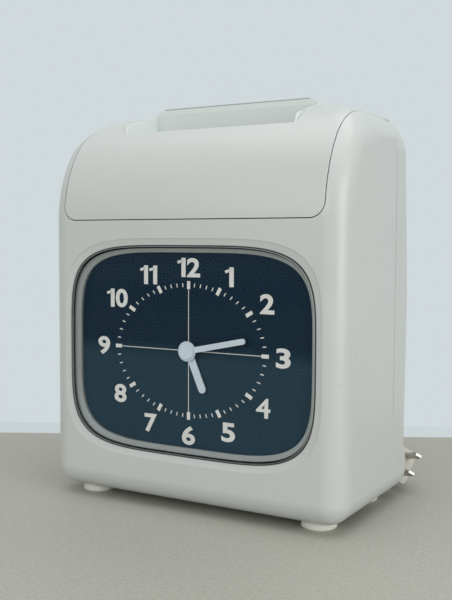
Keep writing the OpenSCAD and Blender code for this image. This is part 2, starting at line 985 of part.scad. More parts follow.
module step_motor() {
    back = rear_plate_d + plate_t;
    color("dimgray")
        difference() {
            bar_y(motor_r, [back, back + motor_len], 0, dial_z - motor_off);
            bar_y(stud_r + run_gap, [back - 1, back + 5], 0, dial_z - motor_off);
        }
}

module motor_pinion() {
    color("gold")
        union() {
            bar_y(stud_r, [front_plate_d + plate_t - 1, rear_plate_d + plate_t + 4], 0, dial_z - motor_off);
            gear_y(
                motor_teeth, drive_m, [centre_wheel_d - 0.2, centre_wheel_d + centre_wheel_t + 0.2],
                0, dial_z - motor_off
            );
        }
}

module chassis() {
    color("lightgray")
        difference() {
            union() {
                block([-chassis_x, chassis_x], chassis_ds, [chassis_z, chassis_z + sheet]);
                block([-chassis_x, chassis_x], [chassis_ds[1] - sheet, chassis_ds[1]], [chassis_z, cross_top]);
                both_sides()
                    block([chassis_in, chassis_x], chassis_ds, [chassis_z, chassis_top]);
            }
            bar_x(bush_r, [-half_w, half_w], feed_d, feed_z);
            bar_x(pinch_shaft_r + run_gap, [-half_w, half_w], pinch_d, feed_z);
            bar_x(feed_motor_shaft_r + 1, [-half_w, 0], feed_d + feed_off, feed_z);
            for (z = rod_zs)
                bar_x(rod_r, [-half_w, half_w], rod_d, z);
            bar_x(lead_r + run_gap, [-half_w, half_w], rod_d, screw_z);
        }
}

// Windows through a chute plate for the rollers and the print head
module chute_windows(ds, roller_r) {
    half_h = sqrt(pow(roller_r, 2) - pow(roller_r - 3, 2)) + 2;
    both_sides()
        block([roller_xs[0] - 1, roller_xs[1] + 1], ds, [feed_z - half_h, feed_z + half_h]);
    block(
        [-slot_w / 2 + 4, slot_w / 2 - 4], ds,
        [print_z - print_window_h / 2, print_z + print_window_h / 2]
    );
}

module chute_front() {
    ds = [chute_front_d, slot_front_d];
    color("silver")
        difference() {
            block([-chute_half, chute_half], ds, [chute_bottom, chute_top]);
            chute_windows([ds[0] - 1, ds[1] + 1], pinch_roller_r);
        }
}

module chute_rear() {
    ds = [slot_back_d, slot_back_d + chute_t];
    color("silver")
        difference() {
            union() {
                block([-chute_half, chute_half], ds, [chute_bottom, chute_top]);
                both_sides()
                    block([slot_w / 2, chute_half], [slot_front_d, ds[1]], [chute_bottom, chute_top]);
                for (z = ear_zs)
                    block([-chassis_in, chassis_in], ds, [z, z + ear_h]);
            }
            chute_windows([ds[0] - 1, ds[1] + 1], feed_roller_r);
        }
}

module platen() {
    front = slot_back_d;
    back = slot_back_d + chute_t;
    half = slot_w / 2 - 4 - slip_gap;
    color("darkslategray")
        union() {
            block([-half, half], [front, back + eps], [print_z - platen_half_h, print_z + platen_half_h]);
            block(
                [-chassis_in, chassis_in], [back, back + platen_t],
                [print_z - platen_half_h, print_z + platen_half_h]
            );
        }
}

module feed_shaft() {
    color("silver")
        bar_x(feed_shaft_r, [feed_gear_x - 1, chassis_x + 3], feed_d, feed_z);
}

module feed_rollers() {
    color("dimgray")
        both_sides()
            difference() {
                bar_x(feed_roller_r, roller_xs, feed_d, feed_z);
                bar_x(feed_shaft_r, [0, half_w], feed_d, feed_z);
            }
}

module feed_gear() {
    xs = [feed_gear_x, feed_gear_x + feed_gear_t];
    color("ivory")
        difference() {
            gear_x(feed_teeth, feed_m, xs, feed_d, feed_z);
            bar_x(feed_shaft_r, [xs[0] - 1, xs[1] + 1], feed_d, feed_z);
        }
}

module feed_bushes() {
    color("goldenrod")
        both_sides()
            difference() {
                bar_x(bush_r, [chassis_x - bush_len + 1, chassis_x + 1], feed_d, feed_z);
                bar_x(feed_shaft_r + run_gap, [0, half_w], feed_d, feed_z);
            }
}

module feed_motor() {
    color("silver")
        difference() {
            bar_x(feed_motor_r, [-chassis_in, feed_motor_len - chassis_in], feed_d + feed_off, feed_z);
            bar_x(feed_motor_shaft_r + run_gap, [-half_w, 6 - chassis_in], feed_d + feed_off, feed_z);
        }
}

module feed_pinion() {
    xs = [feed_gear_x - 0.5, feed_gear_x + feed_gear_t + 0.5];
    color("gold")
        union() {
            gear_x(feed_pinion_teeth, feed_m, xs, feed_d + feed_off, feed_z, 180 / feed_pinion_teeth);
            bar_x(feed_motor_shaft_r, [xs[0], 5 - chassis_in], feed_d + feed_off, feed_z);
        }
}

module pinch_shaft() {
    color("silver")
        bar_x(pinch_shaft_r, [-chassis_x - 1, chassis_x + 1], pinch_d, feed_z);
}

module pinch_rollers() {
    color("dimgray")
        both_sides()
            difference() {
                bar_x(pinch_roller_r, roller_xs, pinch_d, feed_z);
                bar_x(pinch_shaft_r, [0, half_w], pinch_d, feed_z);
            }
}

module guide_rods() {
    color("silver")
        for (z = rod_zs)
            bar_x(rod_r, [-chassis_x, chassis_x], rod_d, z);
}

module print_carriage() {
    color("dimgray")
        difference() {
            block([-carriage_half, carriage_half], carriage_ds, carriage_zs);
            for (z = rod_zs)
                bar_x(rod_r + run_gap, [-half_w, half_w], rod_d, z);
            bar_x(lead_r + run_gap, [-half_w, half_w], rod_d, screw_z);
        }
}

module print_head() {
    nose = [carriage_ds[1], head_d];
    color("darkslategray")
        union() {
            block([-head_half, head_half], [nose[0], nose[1] - head_nose], [print_z - head_half, print_z + head_half]);
            block(
                [-head_half / 3, head_half / 3], [nose[1] - head_nose - eps, nose[1]],
                [print_z - ribbon_half_h + 1, print_z + ribbon_half_h - 1]
            );
        }
}

module carriage_screw() {
    color("silver")
        bar_x(lead_r, [-chassis_x - 1, chassis_x + 6], rod_d, screw_z);
}

module screw_motor() {
    color("dimgray")
        difference() {
            bar_x(screw_motor_r, [chassis_x, chassis_x + screw_motor_len], rod_d, screw_z);
            bar_x(lead_r + run_gap, [chassis_x - 1, chassis_x + 7], rod_d, screw_z);
        }
}

module ribbon_cassette() {
    arm_xs = [slot_w / 2 + 4, cassette_half];
    body_ds = [carriage_ds[0], chute_front_d - 0.2];
    ribbon_zs = [print_z - ribbon_half_h, print_z + ribbon_half_h];
    color("black")
        union() {
            block([-cassette_half, cassette_half], body_ds, cassette_zs);
            block([-chassis_in, chassis_in], body_ds, [cassette_zs[0], cassette_zs[0] + cassette_tray_t]);
            both_sides()
                block(arm_xs, [ribbon_d - 1.2, ribbon_d + ribbon_t], [cassette_zs[1] - eps, ribbon_zs[1]]);
            block([-arm_xs[1], arm_xs[1]], [ribbon_d, ribbon_d + ribbon_t], ribbon_zs);
        }
}

module control_panel() {
    color("gray")
        difference() {
            block([-chassis_in, chassis_in], panel_ds, panel_zs);
            for (x = button_xs)
                translate([x, front_y + button_d, panel_zs[0] - 1])
                    cylinder(r = button_stem_r + run_gap, h = panel_zs[1] - panel_zs[0] + 2);
        }
}

module button_board() {
    post_xs = [button_xs[0] - board_post_off, button_xs[2] + board_post_off];
    board_zs = [switch_top - switch_h - board_t, switch_top - switch_h];
    color("darkgreen")
        union() {
            block([post_xs[0] - 3, post_xs[1] + 3], [button_d - 6, button_d + 6], board_zs);
            for (x = button_xs)
                block(
                    [x - switch_half, x + switch_half], [button_d - switch_half, button_d + switch_half],
                    [board_zs[1] - eps, switch_top]
                );
            for (x = post_xs)
                translate([x, front_y + button_d, board_zs[1] - eps])
                    cylinder(r = 2, h = panel_zs[0] - board_zs[1] + eps);
        }
}

// Push button whose stem stands just clear of its switch when pressed
module set_button(x) {
    head_z = panel_zs[1] + button_lift;
    color("steelblue")
        translate([x, front_y + button_d, 0])
            union() {
                translate([0, 0, head_z])
                    rotate_extrude()
                        polygon([
                            [0, 0], [button_r, 0], [button_r, button_h - 0.6],
                            [button_r - 0.6, button_h], [0, button_h]
                        ]);
                translate([0, 0, switch_top + button_travel + 0.3])
                    cylinder(r = button_stem_r, h = head_z - switch_top - button_travel - 0.3 + eps);
            }
}

module hour_button() {
    set_button(button_xs[0]);
}

module minute_button() {
    set_button(button_xs[1]);
}

module date_button() {
    set_button(button_xs[2]);
}

// Part that stands on the main board, from its lower left corner
module on_board(at, size) {
    x = at[0];
    z = main_board_zs[0] + at[1];
    d = main_board_d + board_t;
    block([x, x + size[0]], [d - eps, d + size[2]], [z, z + size[1]]);
}

// Round part that stands on the main board
module can_on_board(at, r, h) {
    d = main_board_d + board_t;
    bar_y(r, [d - eps, d + h], at[0], main_board_zs[0] + at[1]);
}

module main_board() {
    post_x = main_board_half - board_post_in;
    color("darkgreen")
        union() {
            block([-main_board_half, main_board_half], [main_board_d, main_board_d + board_t], main_board_zs);
            for (x = [-1, 1], z = [main_board_zs[0] + board_post_in, cross_top - board_post_in])
                bar_y(board_post_r, [chassis_ds[1], main_board_d + eps], x * post_x, z);
            on_board(chip_at, chip);
            on_board(socket_at, socket);
            can_on_board(cell_at, cell_r, cell_h);
            for (k = [0:2])
                can_on_board(can_at + [can_pitch * k, 0], can_r, can_h);
        }
}

module transformer() {
    xs = [core_x, core_x + core_w];
    zs = [chassis_z + sheet, chassis_z + sheet + core_h];
    core_ds = [chassis_ds[1] - core_gap - core_t, chassis_ds[1] - core_gap];
    color("darkgoldenrod")
        union() {
            block(xs, core_ds, zs);
            block(
                [xs[0] + coil_edge, xs[1] - coil_edge],
                [core_ds[0] - coil_bulge[0], core_ds[1] + coil_bulge[1]],
                [zs[0] + coil_edge - 1, zs[1] - coil_edge + 1]
            );
        }
}

module cord_relief() {
    stem = relief_pad_d - 8;
    flange = 2;
    length = relief_end_d - stem;
    color("ivory")
        translate([relief_x, front_y + stem, relief_z])
            rotate([-90, 0, 0])
                rotate_extrude()
                    polygon([
                        [0, 0], [relief_stem_r, 0], [relief_stem_r, relief_pad_d - stem],
                        [relief_flange_r, relief_pad_d - stem], [relief_flange_r, relief_pad_d - stem + flange],
                        [relief_stem_r + 0.6, relief_pad_d - stem + flange + 0.6],
                        [cord_dia / 2 + 0.8, length], [0, length]
                    ]);
}

// Tube swept along points given across, in depth and in height
function unit(v) = v / norm(v);
function heading(pts, i) = unit(pts[min(i + 1, len(pts) - 1)] - pts[max(i - 1, 0)]);
function ring(p, along, r, sides) =
    let (side = unit(cross(along, [0, 0, 1])), up = cross(side, along))
        [for (k = [0:sides - 1]) p + r * (cos(360 * k / sides) * side + sin(360 * k / sides) * up)];

module tube(pts, headings, r, sides) {
    n = len(pts);
    points = [for (i = [0:n - 1]) each ring(pts[i], headings[i], r, sides)];
    faces = concat(
        [[for (k = [sides - 1:-1:0]) k]],
        [
            for (i = [0:n - 2], k = [0:sides - 1], half = [0, 1])
                let (a = i * sides + k, b = i * sides + (k + 1) % sides)
                    half == 0 ? [a, b, b + sides] : [a, b + sides, a + sides]
        ],
        [[for (k = [0:sides - 1]) (n - 1) * sides + k]]
    );
    translate([0, front_y, 0])
        polyhedron(points, faces);
}

// Coil: the lead comes in on the upper layer, winds in, drops a layer, and winds out below
coil_rings = 24;
coil_sides = 6;
coil_mid = coil_turns / 2;
coil_low = cord_dia / 2 + 0.2;
coil_start = lead_points[len(lead_points) - 1] + [0, cord_dia, 0];
function coil_r(u) = coil_in_r + coil_step * (sqrt(pow(u - coil_mid, 2) + 0.02) - sqrt(0.02));
coil_x = coil_start[0] - coil_r(0);
function coil_drop(u) =
    let (t = min(1, max(0, 2 * (u - coil_mid) + 0.5)))
        coil_step * (1 - t * t * (3 - 2 * t));
coil_count = ceil(coil_turns * coil_rings);
coil_path = [
    for (i = [0:coil_count])
        let (u = coil_turns * i / coil_count, a = 360 * u)
            [coil_x + coil_r(u) * cos(a), coil_start[1] + coil_r(u) * sin(a), coil_low + coil_drop(u)]
];
coil_out = unit([-sin(360 * coil_turns), cos(360 * coil_turns), 0]);
coil_end = coil_path[coil_count] + cord_dia * coil_out;
coil_points = concat([coil_start - [0, cord_dia, 0]], coil_path, [coil_end]);
coil_heads = concat(
    [[0, 1, 0], [0, 1, 0]],
    [for (i = [2:len(coil_points) - 3]) heading(coil_points, i)],
    [coil_out, coil_out]
);
coil_gap = min([
    for (i = [0:len(coil_points) - 1])
        for (j = [i + coil_rings / 2:1:len(coil_points) - 1])
            norm(coil_points[i] - coil_points[j])
]) - cord_dia;
echo(coil_gap = coil_gap);

plug_back = plug_at - (plug_len + plug_boot) * plug_axis();
function plug_axis() =
    [cos(plug_turn[1]) * cos(plug_turn[2]), cos(plug_turn[1]) * sin(plug_turn[2]), -sin(plug_turn[1])];
tail_path = concat([coil_end], tail_points, [plug_back]);
echo(coil_end = coil_end, plug_back = plug_back);

module cord_lead() {
    heads = [
        for (i = [0:len(lead_points) - 1])
            i == 0 || i == len(lead_points) - 1 ? [0, 1, 0] : heading(lead_points, i)
    ];
    color("ivory")
        tube(lead_points, heads, cord_dia / 2, 8);
}

module cord_coil() {
    color("ivory")
        tube(coil_points, coil_heads, cord_dia / 2, coil_sides);
}

module cord_tail() {
    n = len(tail_path);
    heads = [
        for (i = [0:n - 1])
            i == 0 ? coil_out : i == n - 1 ? plug_axis() : heading(tail_path, i)
    ];
    color("ivory")
        tube(tail_path, heads, cord_dia / 2, 8);
}

// Places a plug piece drawn with its blades along +X
module at_plug() {
    translate(plug_at + [0, front_y, 0])
        rotate(plug_turn)
            children();
}

module plug_body() {
    color("ivory")
        at_plug()
            union() {
                hull() {
                    for (y = [-1, 1], z = [-1, 1])
                        translate([-8, y * (plug_t / 2 - 3), z * (plug_w / 2 - 3)])
                            rotate([0, 90, 0])
                                cylinder(r = 3, h = 8, $fn = 32);
                    translate([-plug_len, 0, 0])
                        rotate([0, 90, 0])
                            cylinder(r = 5.5, h = 4, $fn = 32);
                }
                translate([-plug_len - plug_boot, 0, 0])
                    rotate([0, 90, 0])
                        cylinder(r1 = cord_dia / 2 + 0.6, r2 = 4.6, h = plug_boot + 1);
            }
}

module plug_blades() {
    color("silver")
        at_plug()
            for (z = [-1, 1])
                translate([0, 0, z * blade_pitch / 2 - blade_t / 2])
                    linear_extrude(blade_t)
                        difference() {
                            polygon([
                                [0, -blade_w / 2], [blade_len - 2, -blade_w / 2], [blade_len, 1 - blade_w / 2],
                                [blade_len, blade_w / 2 - 1], [blade_len - 2, blade_w / 2], [0, blade_w / 2]
                            ]);
                            translate([blade_len - blade_hole_in, 0])
                                circle(r = blade_hole_r);
                        }
}

front_case();
top_cover();
card_guide();
rear_cover();
feet();
case_screws();
hood_leaf();
rear_leaf();
hinge_pin();
lock_body();
lock_plug();
lock_cam();
window_lens();
lens_seal();
dial_bezel();
dial_plate();
dial_screws();
hour_hand();
minute_hand();
hand_cap();
movement_frame();
minute_arbor();
centre_wheel();
minute_wheel();
hour_wheel();
step_motor();
motor_pinion();
chassis();
chute_front();
chute_rear();
platen();
feed_shaft();
feed_rollers();
feed_gear();
feed_bushes();
feed_motor();
feed_pinion();
pinch_shaft();
pinch_rollers();
guide_rods();
print_carriage();
print_head();
carriage_screw();
screw_motor();
ribbon_cassette();
control_panel();
button_board();
hour_button();
minute_button();
date_button();
main_board();
transformer();
cord_relief();
cord_lead();
cord_coil();
cord_tail();
plug_body();
plug_blades();
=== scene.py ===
# %% [markdown]
# # A card time recorder with an analogue dial
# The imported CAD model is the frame: every piece below is made in its coordinates, in metres.
# The dial faces -Y, +Z is up, and the case stands on z = 0. Sizes are written in millimetres and
# turned into metres by one factor, because the drawing of such a case is in millimetres.

# %% Load the frame
import json
import math

import bpy
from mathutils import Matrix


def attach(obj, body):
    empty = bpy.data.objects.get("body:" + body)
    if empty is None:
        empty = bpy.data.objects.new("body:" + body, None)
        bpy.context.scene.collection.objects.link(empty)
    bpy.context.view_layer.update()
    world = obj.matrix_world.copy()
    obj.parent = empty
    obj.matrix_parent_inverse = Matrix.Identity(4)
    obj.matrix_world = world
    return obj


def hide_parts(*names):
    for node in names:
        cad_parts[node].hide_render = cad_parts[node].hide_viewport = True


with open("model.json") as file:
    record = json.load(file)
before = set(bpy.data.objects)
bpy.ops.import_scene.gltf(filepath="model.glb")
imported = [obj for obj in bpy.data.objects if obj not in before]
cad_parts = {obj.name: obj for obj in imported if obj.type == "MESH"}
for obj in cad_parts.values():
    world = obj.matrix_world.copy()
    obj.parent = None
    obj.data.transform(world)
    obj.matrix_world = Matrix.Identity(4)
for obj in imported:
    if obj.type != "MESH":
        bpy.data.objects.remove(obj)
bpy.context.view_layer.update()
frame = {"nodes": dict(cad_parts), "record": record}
nodes = frame["nodes"]
print("CAD nodes:", len(nodes))

# %% [markdown]
# ## Small helpers
# A depth is measured from the front face towards the back, as the case is drawn. Blender's operators
# work on what is selected, so each helper first makes its piece the only selected one.

# %% Places, selection and finishing
MM = 0.001
FRONT = -62.5
MERGE = 5e-6


def at(x, depth, z):
    return (x * MM, (FRONT + depth) * MM, z * MM)


def only(obj):
    if bpy.context.object and bpy.context.object.mode != "OBJECT":
        bpy.ops.object.mode_set(mode="OBJECT")
    bpy.ops.object.select_all(action="DESELECT")
    obj.select_set(True)
    bpy.context.view_layer.objects.active = obj
    return obj


def named(name):
    obj = bpy.context.object
    obj.name = obj.data.name = name
    return obj


def settle(obj):
    """Put a piece's place into its mesh, with its object left at the origin."""
    only(obj)
    bpy.ops.object.transform_apply(location=True, rotation=True, scale=True)
    return obj


def edit(obj, *steps):
    """Run operators in edit mode with the whole mesh selected."""
    only(obj)
    bpy.ops.object.mode_set(mode="EDIT")
    bpy.ops.mesh.select_all(action="SELECT")
    for step in steps:
        step()
    bpy.ops.object.mode_set(mode="OBJECT")
    return obj


def outward():
    bpy.ops.mesh.normals_make_consistent(inside=False)


def apply(obj, kind, **settings):
    only(obj)
    mod = obj.modifiers.new(kind.lower(), kind)
    for key, value in settings.items():
        setattr(mod, key, value)
    bpy.ops.object.modifier_apply(modifier=mod.name)
    return obj


def carve(obj, tool, operation="DIFFERENCE"):
    apply(obj, "BOOLEAN", object=tool, operation=operation, solver="MANIFOLD")
    bpy.data.objects.remove(tool)
    return obj


def smooth(obj, degrees=30):
    """Merge doubles, then shade a mesh smooth except at edges sharper than an angle."""
    edit(
        obj,
        lambda: bpy.ops.mesh.remove_doubles(threshold=MERGE),
        lambda: bpy.ops.mesh.dissolve_degenerate(threshold=MERGE),
    )
    bpy.ops.object.shade_smooth_by_angle(angle=math.radians(degrees))
    return apply(obj, "WEIGHTED_NORMAL", keep_sharp=True, weight=100)


def dress(obj, body, material, slot, *stands_for):
    obj.data.materials.clear()
    obj.data.materials.append(material)
    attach(obj, body)
    if stands_for:
        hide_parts(*stands_for)
    return obj


# %% [markdown]
# ## Camera
# The camera stands where the photograph was taken: to the right of the recorder, a little above the
# dial's middle, looking down by under four degrees. Its axes come from fitting the window, the feet and
# the case's outline to the picture.

# %% Camera at the photograph's place
from mathutils import Matrix, Vector

RIGHT = (0.86538, 0.50111, 0.00383)
UP = (-0.03563, 0.05390, 0.99791)
LOOK = (-0.49985, 0.86370, -0.06450)
FOCAL_PX, LONG_SIDE_PX, SENSOR = 897.58, 600, 36
EYE = (290.5, -450.8, 165.4)

bpy.ops.object.camera_add()
camera = named("camera")
columns = (RIGHT, UP, tuple(-v for v in LOOK), at(*EYE))
camera.matrix_world = Matrix([[c[row] for c in columns] for row in range(3)] + [[0, 0, 0, 1]])
camera.data.sensor_width = SENSOR
camera.data.lens = FOCAL_PX / LONG_SIDE_PX * SENSOR
camera.data.clip_start = 0.01
bpy.context.scene.camera = camera
print("lens:", round(camera.data.lens, 2), "mm")

# %% [markdown]
# ## Floor and light
# The picture has a pale grey-beige table whose far edge crosses behind the recorder, and a pale wall.
# The table is one plane: up to that line it is grey-beige, and the strip behind the line, where the coiled
# cord lies, is as pale as the wall. The wall is the world's colour, which is bright for the camera and for
# reflections, and dimmer as a light. Soft lamps above, to the right and in front give the moulded edges
# their long highlights.

# %% Table, lamps and world
TABLE = 6
bpy.ops.mesh.primitive_plane_add(size=TABLE)
table = named("table")
EDGE_SPOT, EDGE_TURN, PALE_STRIP = (-90.3, 208.9), math.radians(28.14), 45
far_edge = Matrix.Translation(at(*EDGE_SPOT, 0)) @ Matrix.Rotation(EDGE_TURN, 4, "Z")
table.matrix_world = far_edge @ Matrix.Translation((0, PALE_STRIP * MM - TABLE / 2, 0))
settle(table)


def lamp(name, place, aim, size, watts):
    """Soft rectangular lamp that points at a place; all in metres."""
    bpy.ops.object.light_add(type="AREA", location=place)
    obj = named(name)
    obj.data.shape = "RECTANGLE"
    obj.data.size, obj.data.size_y = size
    obj.data.energy = watts
    away = Vector(place) - Vector(aim)
    obj.rotation_euler = away.to_track_quat("Z", "Y").to_euler()


lamp("ceiling_light", (0.1, -0.1, 1.3), (0, 0, 0.1), (1.4, 1.4), 8.0)
lamp("right_light", (1.4, -0.5, 0.36), (0, 0, 0.10), (0.9, 0.9), 8.8)
lamp("front_light", (-0.25, -1.7, 0.65), (0, 0, 0.10), (1.2, 0.8), 5.9)

world = bpy.data.worlds.new("pale_room")
bpy.context.scene.world = world
bpy.context.scene.view_settings.view_transform = "Standard"

# %% [markdown]
# ## Writing shaders as sums
# A small class wraps a shader socket, so that a material's maths reads as plain Python: `1 - mask` adds a
# Math node, and `node()` adds any other one with its settings and its inputs.


# %% The socket class
class Sock:
    def __init__(self, tree, socket):
        self.tree, self.socket = tree, socket

    def _math(self, operation, *values):
        return Sock.node(self.tree, "ShaderNodeMath", {"operation": operation}, dict(enumerate(values)))

    def __add__(self, other):
        return self._math("ADD", self, other)

    def __sub__(self, other):
        return self._math("SUBTRACT", self, other)

    def __rsub__(self, other):
        return self._math("SUBTRACT", other, self)

    def __mul__(self, other):
        return self._math("MULTIPLY", self, other)

    __radd__, __rmul__ = __add__, __mul__

    def above(self, level):
        return self._math("GREATER_THAN", self, level)

    def below(self, level):
        return self._math("LESS_THAN", self, level)

    def ramp(self, *stops):
        """Colours by value: each stop is (place, colour)."""
        node = self.tree.nodes.new("ShaderNodeValToRGB")
        bar = node.color_ramp.elements
        while len(bar) < len(stops):
            bar.new(1)
        for element, (place, colour) in zip(bar, stops):
            element.position, element.color = place, (*colour, 1)
        self.tree.links.new(self.socket, node.inputs[0])
        return Sock(self.tree, node.outputs[0])

    def mix(self, low, high):
        """low where this mask is 0, high where it is 1: colours."""
        return Sock.node(
            self.tree,
            "ShaderNodeMix",
            {"data_type": "RGBA"},
            {0: self, 6: colour4(low), 7: colour4(high)},
            output=2,
        )

    def axis(self, letter):
        split = Sock.node(self.tree, "ShaderNodeSeparateXYZ", {}, {0: self})
        return Sock(self.tree, split.socket.node.outputs["XYZ".index(letter)])

    @staticmethod
    def node(tree, kind, settings, inputs, output=0):
        made = tree.nodes.new(kind)
        for key, value in settings.items():
            setattr(made, key, value)
        for key, value in inputs.items():
            if isinstance(value, Sock):
                tree.links.new(value.socket, made.inputs[key])
            else:
                made.inputs[key].default_value = value
        return Sock(tree, made.outputs[output])


def colour4(value):
    return value if isinstance(value, Sock) else (*value, 1)


class Finish:
    """One material: its tree, its object coordinates in millimetres, and its main shader."""

    def __init__(self, name, **settings):
        self.material = bpy.data.materials.new(name)
        self.material.use_nodes = True
        self.tree = self.material.node_tree
        self.shader = self.tree.nodes["Principled BSDF"]
        coords = Sock.node(self.tree, "ShaderNodeTexCoord", {}, {}, output=3)
        self.place = Sock.node(
            self.tree, "ShaderNodeVectorMath", {"operation": "SCALE"}, {0: coords, 3: 1000.0}
        )
        self.set(**settings)

    def set(self, **settings):
        for key, value in settings.items():
            socket = self.shader.inputs[key.replace("_", " ").title().replace("Ior", "IOR")]
            if isinstance(value, Sock):
                self.tree.links.new(value.socket, socket)
            elif isinstance(value, tuple) and len(value) == 3 and socket.type == "RGBA":
                socket.default_value = (*value, 1)
            else:
                socket.default_value = value
        return self

    def noise(self, size, detail=2.0, stretch=None):
        """Noise of a grain size in millimetres, stretched along the axes if asked."""
        place = self.place
        if stretch:
            place = Sock.node(
                self.tree, "ShaderNodeVectorMath", {"operation": "MULTIPLY"}, {0: place, 1: stretch}
            )
        return Sock.node(
            self.tree, "ShaderNodeTexNoise", {}, {"Vector": place, "Scale": 1.0 / size, "Detail": detail}
        )

    def bump(self, height, strength, distance):
        made = Sock.node(
            self.tree, "ShaderNodeBump", {},
            {"Height": height, "Strength": strength, "Distance": distance * MM},
        )
        return self.set(normal=made)


# %% [markdown]
# ## The finishes
# The case is moulded ivory plastic: glossy, with a faint flow in its colour and the finest orange peel.
# Each other finish has one cue at its real scale: the drawn lines of steel, the grain of textured plastic,
# the tracks of a circuit board, the laminations of a transformer.


# %% Moulded plastics
def moulded(name, colour, roughness, grain, depth, drift=0.03):
    """Moulded plastic: slow colour drift, fine skin texture, roughness that wanders a little."""
    look = Finish(name)
    dark = tuple(c * (1 - drift) for c in colour)
    light = tuple(min(1, c * (1 + drift)) for c in colour)
    look.set(base_color=look.noise(38.0, 3).ramp((0.3, dark), (0.7, light)))
    look.set(roughness=look.noise(9.0, 4) * 0.10 + (roughness - 0.05))
    return look.bump(look.noise(grain, 2), 0.25, depth)


IVORY = (0.575, 0.603, 0.585)
ivory = moulded("case_ivory", IVORY, 0.30, 0.8, 0.006, drift=0.012)
guide_grey = moulded("guide_grey", (0.50, 0.54, 0.52), 0.42, 0.5, 0.02)
bezel_grey = moulded("bezel_grey", (0.44, 0.48, 0.47), 0.42, 0.4, 0.01)
panel_grey = moulded("panel_grey", (0.33, 0.34, 0.35), 0.45, 0.4, 0.04)
black_plastic = moulded("black_plastic", (0.030, 0.030, 0.033), 0.42, 0.35, 0.05)
gear_plastic = moulded("gear_plastic", (0.70, 0.66, 0.54), 0.38, 0.6, 0.02)
button_blue = moulded("button_blue", (0.05, 0.12, 0.24), 0.3, 0.6, 0.015)
cord_ivory = moulded("cord_ivory", (0.56, 0.545, 0.49), 0.46, 0.7, 0.03)
foot_cream = moulded("foot_cream", (0.74, 0.74, 0.67), 0.62, 0.45, 0.04)
seal_black = moulded("seal_black", (0.035, 0.037, 0.037), 0.65, 0.4, 0.03)
roller_rubber = moulded("roller_rubber", (0.030, 0.030, 0.032), 0.75, 0.3, 0.08)
print("case finish:", ivory.material.name, "with", len(ivory.tree.nodes), "shader nodes")

# %% [markdown]
# ## Painted light and shade on the card guide
# The guide is one grey moulding, with light and shade painted into its colour in bands: a dark upper edge, a
# lit strip under it (painted light), and a greyer part below (painted shade). Its two wings are paler still,
# a painted highlight. Height and depth pick the band.

# %% Card guide bands
GUIDE_FACE, LIT_STRIP_Z, GUIDE_EDGE_Z = 61, 250.6, 253.9
guide_z, guide_y = guide_grey.place.axis("Z"), guide_grey.place.axis("Y")
# Painted shade on the lower guide face, painted light on the strip above it.
painted_shade_and_lit_strip = guide_z.above(LIT_STRIP_Z).mix((0.63, 0.67, 0.65), (0.68, 0.72, 0.70))
edged = guide_z.above(GUIDE_EDGE_Z).mix(painted_shade_and_lit_strip, (0.36, 0.39, 0.39))
# Painted highlight: the wings ahead of the guide face are paler.
guide_grey.set(base_color=guide_y.below(FRONT + GUIDE_FACE - 0.1).mix(edged, (0.72, 0.77, 0.75)))
print("guide bands start at:", LIT_STRIP_Z, "and", GUIDE_EDGE_Z, "mm")

# %% [markdown]
# ## Metals
# Shafts, rods, sheets, gears and plug blades are bare metal. Rolling and drawing leave fine lines along one
# axis, so one noise, stretched along that axis, drives the colour, the roughness and the bump together.


# %% Metals
def drawn_metal(name, colour, roughness, stretch):
    """Bare metal with fine drawn lines along one axis."""
    look = Finish(name, metallic=1.0)
    lines = look.noise(0.5, 3, stretch)
    look.set(base_color=lines.ramp((0.3, tuple(c * 0.88 for c in colour)), (0.7, colour)))
    look.set(roughness=lines * 0.16 + (roughness - 0.08))
    return look.bump(lines, 0.2, 0.01)


steel = drawn_metal("steel", (0.62, 0.62, 0.63), 0.30, (0.04, 1.0, 1.0))
sheet_zinc = drawn_metal("sheet_zinc", (0.56, 0.57, 0.58), 0.40, (1.0, 1.0, 0.05))
brass = drawn_metal("brass", (0.72, 0.52, 0.22), 0.32, (1.0, 0.05, 1.0))
blade_nickel = drawn_metal("blade_nickel", (0.52, 0.49, 0.45), 0.34, (0.1, 0.12, 1.0))
print("metals:", [metal.material.name for metal in (steel, sheet_zinc, brass, blade_nickel)])

# %% [markdown]
# ## Paint, print and boards
# The dial is matte navy paint; its lower half is painted lighter, a painted reflection of the pale table in
# the pane. The hands and the print are pale paint. The boards and the transformer only show when the hood is
# open, but they get their own pattern too.


# %% Painted and patterned finishes
def painted(name, colour, roughness):
    look = Finish(name)
    speck = look.noise(0.35, 3)
    look.set(base_color=look.noise(22.0, 2).ramp((0.3, tuple(c * 0.93 for c in colour)), (0.7, colour)))
    look.set(roughness=speck * 0.12 + (roughness - 0.06))
    return look.bump(speck, 0.1, 0.003)


DIAL_Z, FADE_SPAN = 99.3, 60
NAVY, PAINTED_REFLECTION_NAVY = (0.004, 0.024, 0.046), (0.021, 0.055, 0.082)
dial_navy = painted("dial_navy", NAVY, 0.62).set(specular_ior_level=0.12)
# Lighter towards the bottom: a painted reflection of the pale table in the pane.
painted_reflection_fade = dial_navy.place.axis("Z") * (1 / FADE_SPAN) + (0.5 - DIAL_Z / FADE_SPAN)
dial_navy.set(base_color=painted_reflection_fade.ramp((0.40, PAINTED_REFLECTION_NAVY), (0.58, NAVY)))
dial_white = painted("dial_white", (0.93, 0.94, 0.91), 0.5)
hand_paint = painted("hand_paint", (0.75, 0.87, 0.96), 0.34)

board_green = Finish("board_green", roughness=0.35)
tracks = Sock.node(
    board_green.tree, "ShaderNodeTexBrick", {"offset": 0.35},
    {"Vector": board_green.place, "Scale": 0.12, "Mortar Size": 0.03,
     "Color1": (0.01, 0.075, 0.035, 1), "Color2": (0.012, 0.09, 0.04, 1), "Mortar": (0.03, 0.16, 0.07, 1)},
)
board_green.set(base_color=tracks)

